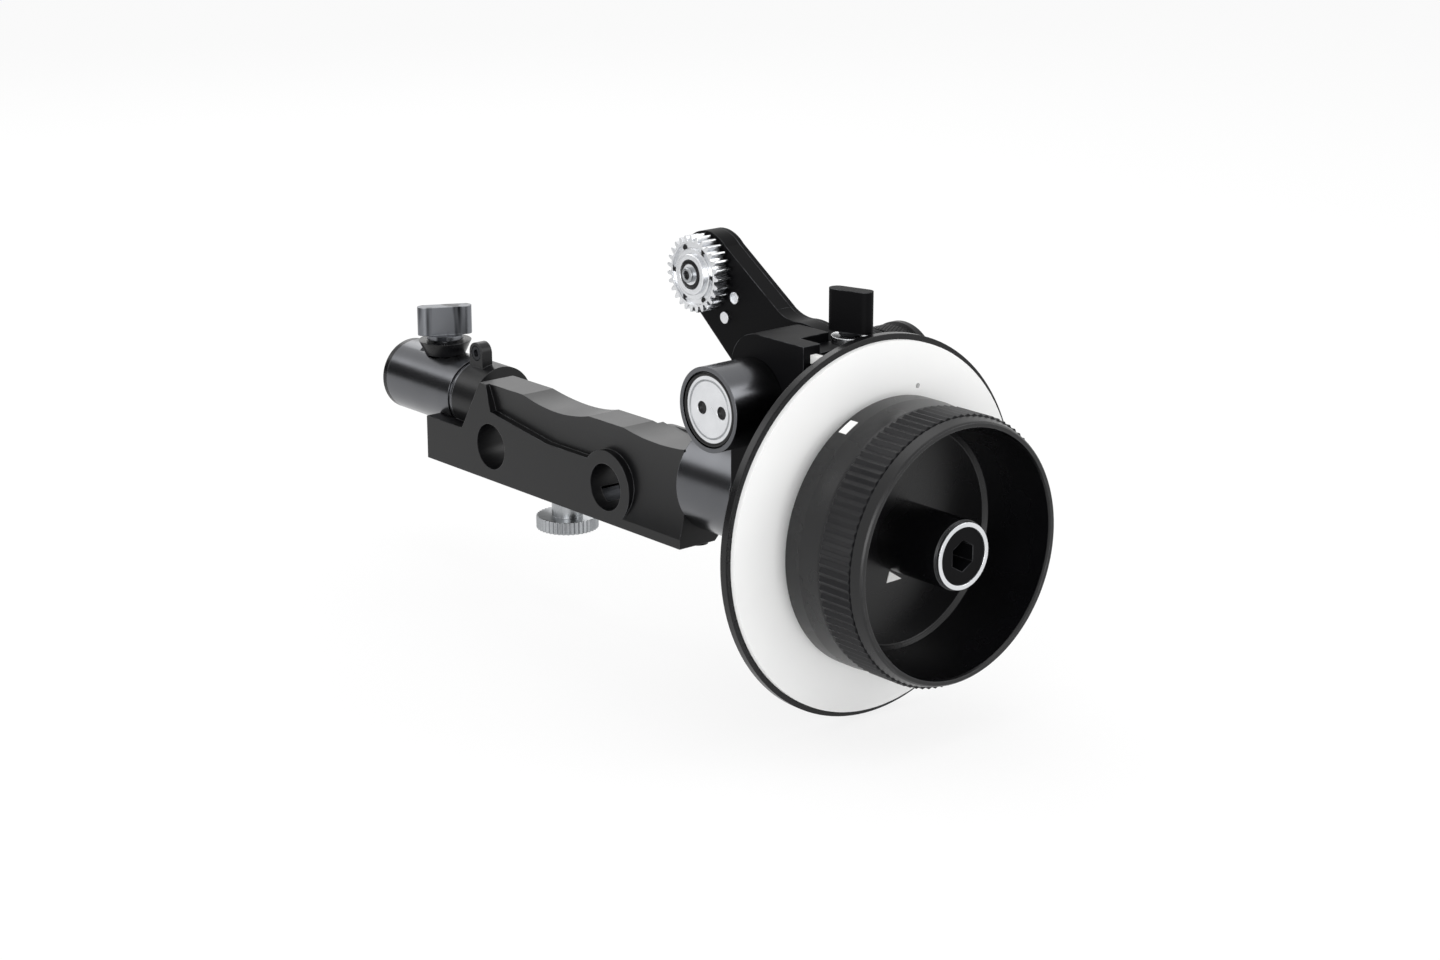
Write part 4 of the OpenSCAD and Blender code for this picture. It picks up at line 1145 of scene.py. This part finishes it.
class FOLLOWFOCUS_OT_studio(Operator):
    """Pale floor, white surroundings, softboxes, a black card and the camera"""

    bl_idname = "follow_focus.studio"
    bl_label = "Studio"

    def execute(self, context):
        scene = context.scene
        studio = scene.follow_focus_studio
        scene.view_settings.view_transform = "Standard"
        fresh()
        bpy.ops.mesh.primitive_plane_add(size=8, location=(0, 0, cad_low.z - studio.floor_gap))
        floor = bpy.context.object
        floor.name = "studio_floor"
        material, tree, out, _ = blank("PaleStudioFloor")
        # a white sweep: mostly white light to the eye and in reflections, matt for the rest
        eye = seen(tree, "Is Glossy Ray")
        matt = add(tree, "BsdfDiffuse", values={"Color": linear("#F4F4F4")})
        white = add(tree, "Emission", values={"Color": (1, 1, 1, 1), "Strength": 1.0})
        share = add(tree, "Math", {"operation": "MULTIPLY"}, {1: FLOOR_GLOW}, {0: eye})
        mix = add(
            tree,
            "MixShader",
            links={
                0: share.outputs["Value"],
                1: matt.outputs["BSDF"],
                2: white.outputs["Emission"],
            },
        )
        tree.links.new(mix.outputs["Shader"], out.inputs["Surface"])
        give(floor, material)

        # a black card on the far left gives the turned parts their dark band
        bpy.ops.mesh.primitive_plane_add(size=1, location=CARD_PLACE)
        card = bpy.context.object
        card.name = "studio_card"
        card.scale = CARD_SCALE
        card.rotation_euler = (-Vector(CARD_PLACE)).to_track_quat("Z", "Y").to_euler()
        material, tree, out, place = blank("BlackStudioCard")
        cloth = noise(tree, place, 10 * MM)
        felt = add(tree, "BsdfDiffuse", links={"Color": tint(tree, cloth, "#060606", "#0C0C0C")})
        tree.links.new(felt.outputs["BSDF"], out.inputs["Surface"])
        give(card, material)
        # only reflections see the card, so it hides nothing and casts no shadow
        card.visible_camera = False
        card.visible_shadow = False
        card.visible_diffuse = False
        card.visible_transmission = False

        world = bpy.data.worlds.new("PaleStudio")
        scene.world = world
        world.use_nodes = True
        tree = world.node_tree
        tree.nodes.clear()
        level = spread(
            tree,
            seen(tree, "Is Glossy Ray", "Is Transmission Ray"),
            SURROUND_LEVEL,
            1.0,
        )
        back = add(tree, "Background", values={"Color": (1, 1, 1, 1)}, links={"Strength": level})
        tree.links.new(back.outputs["Background"], add(tree, "OutputWorld").inputs["Surface"])

        centre = (cad_low + cad_high) / 2
        for name, place, size, power in (
            ("top_softbox", (0.05, 0.1, 0.9), 0.7, studio.top_light),
            ("left_softbox", (-0.7, -0.5, 0.5), 0.5, studio.side_light),
            ("right_softbox", (0.64, 0.6, 0.55), 0.5, studio.right_light),
            ("front_softbox", (0.72, -0.72, 0.16), 0.6, studio.front_light),
            ("back_softbox", (-0.8, 0.44, 0.62), 0.6, studio.back_light),
        ):
            lamp = bpy.data.lights.new(name, "AREA")
            lamp.shape = "SQUARE"
            lamp.size = size
            lamp.energy = power
            holder = bpy.data.objects.new(name, lamp)
            scene.collection.objects.link(holder)
            holder.location = place
            holder.rotation_euler = (centre - Vector(place)).to_track_quat("-Z", "Y").to_euler()

        data = bpy.data.cameras.new("photo_camera")
        data.sensor_width = 36
        data.lens = studio.lens
        data.clip_start, data.clip_end = 0.05, 20
        camera = bpy.data.objects.new("photo_camera", data)
        scene.collection.objects.link(camera)
        camera.location = studio.camera
        camera.rotation_euler = (
            Vector(studio.target) - Vector(studio.camera)
        ).to_track_quat("-Z", "Y").to_euler()
        scene.camera = camera
        return {"FINISHED"}


class FOLLOWFOCUS_PT_panel(Panel):
    """Sizes, colours and steps of the follow focus unit"""

    bl_idname = "FOLLOWFOCUS_PT_panel"
    bl_label = "Follow focus unit"
    bl_space_type = "VIEW_3D"
    bl_region_type = "UI"
    bl_category = "Follow Focus"

    def draw(self, context):
        for title, group in (
            ("Finishes", context.scene.follow_focus_finish),
            ("Details", context.scene.follow_focus_detail),
            ("Studio", context.scene.follow_focus_studio),
        ):
            box = self.layout.box()
            box.label(text=title)
            for key in group.__annotations__:
                box.prop(group, key)
        for operator in OPERATORS:
            self.layout.operator(operator.bl_idname)


OPERATORS = (
    FOLLOWFOCUS_OT_finishes,
    FOLLOWFOCUS_OT_lens_gear_cap,
    FOLLOWFOCUS_OT_port_face,
    FOLLOWFOCUS_OT_rear_knob,
    FOLLOWFOCUS_OT_small_screws,
    FOLLOWFOCUS_OT_studio,
)
CLASSES = (FinishSettings, DetailSettings, StudioSettings, *OPERATORS, FOLLOWFOCUS_PT_panel)


def register():
    for made in CLASSES:
        bpy.utils.register_class(made)
    bpy.types.Scene.follow_focus_finish = PointerProperty(type=FinishSettings)
    bpy.types.Scene.follow_focus_detail = PointerProperty(type=DetailSettings)
    bpy.types.Scene.follow_focus_studio = PointerProperty(type=StudioSettings)


def unregister():
    del bpy.types.Scene.follow_focus_studio
    del bpy.types.Scene.follow_focus_detail
    del bpy.types.Scene.follow_focus_finish
    for made in reversed(CLASSES):
        bpy.utils.unregister_class(made)


def main():
    register()
    bpy.ops.follow_focus.finishes()
    bpy.ops.follow_focus.lens_gear_cap()
    bpy.ops.follow_focus.port_face()
    bpy.ops.follow_focus.rear_knob()
    bpy.ops.follow_focus.small_screws()
    bpy.ops.follow_focus.studio()


if __name__ == "__main__":
    main()
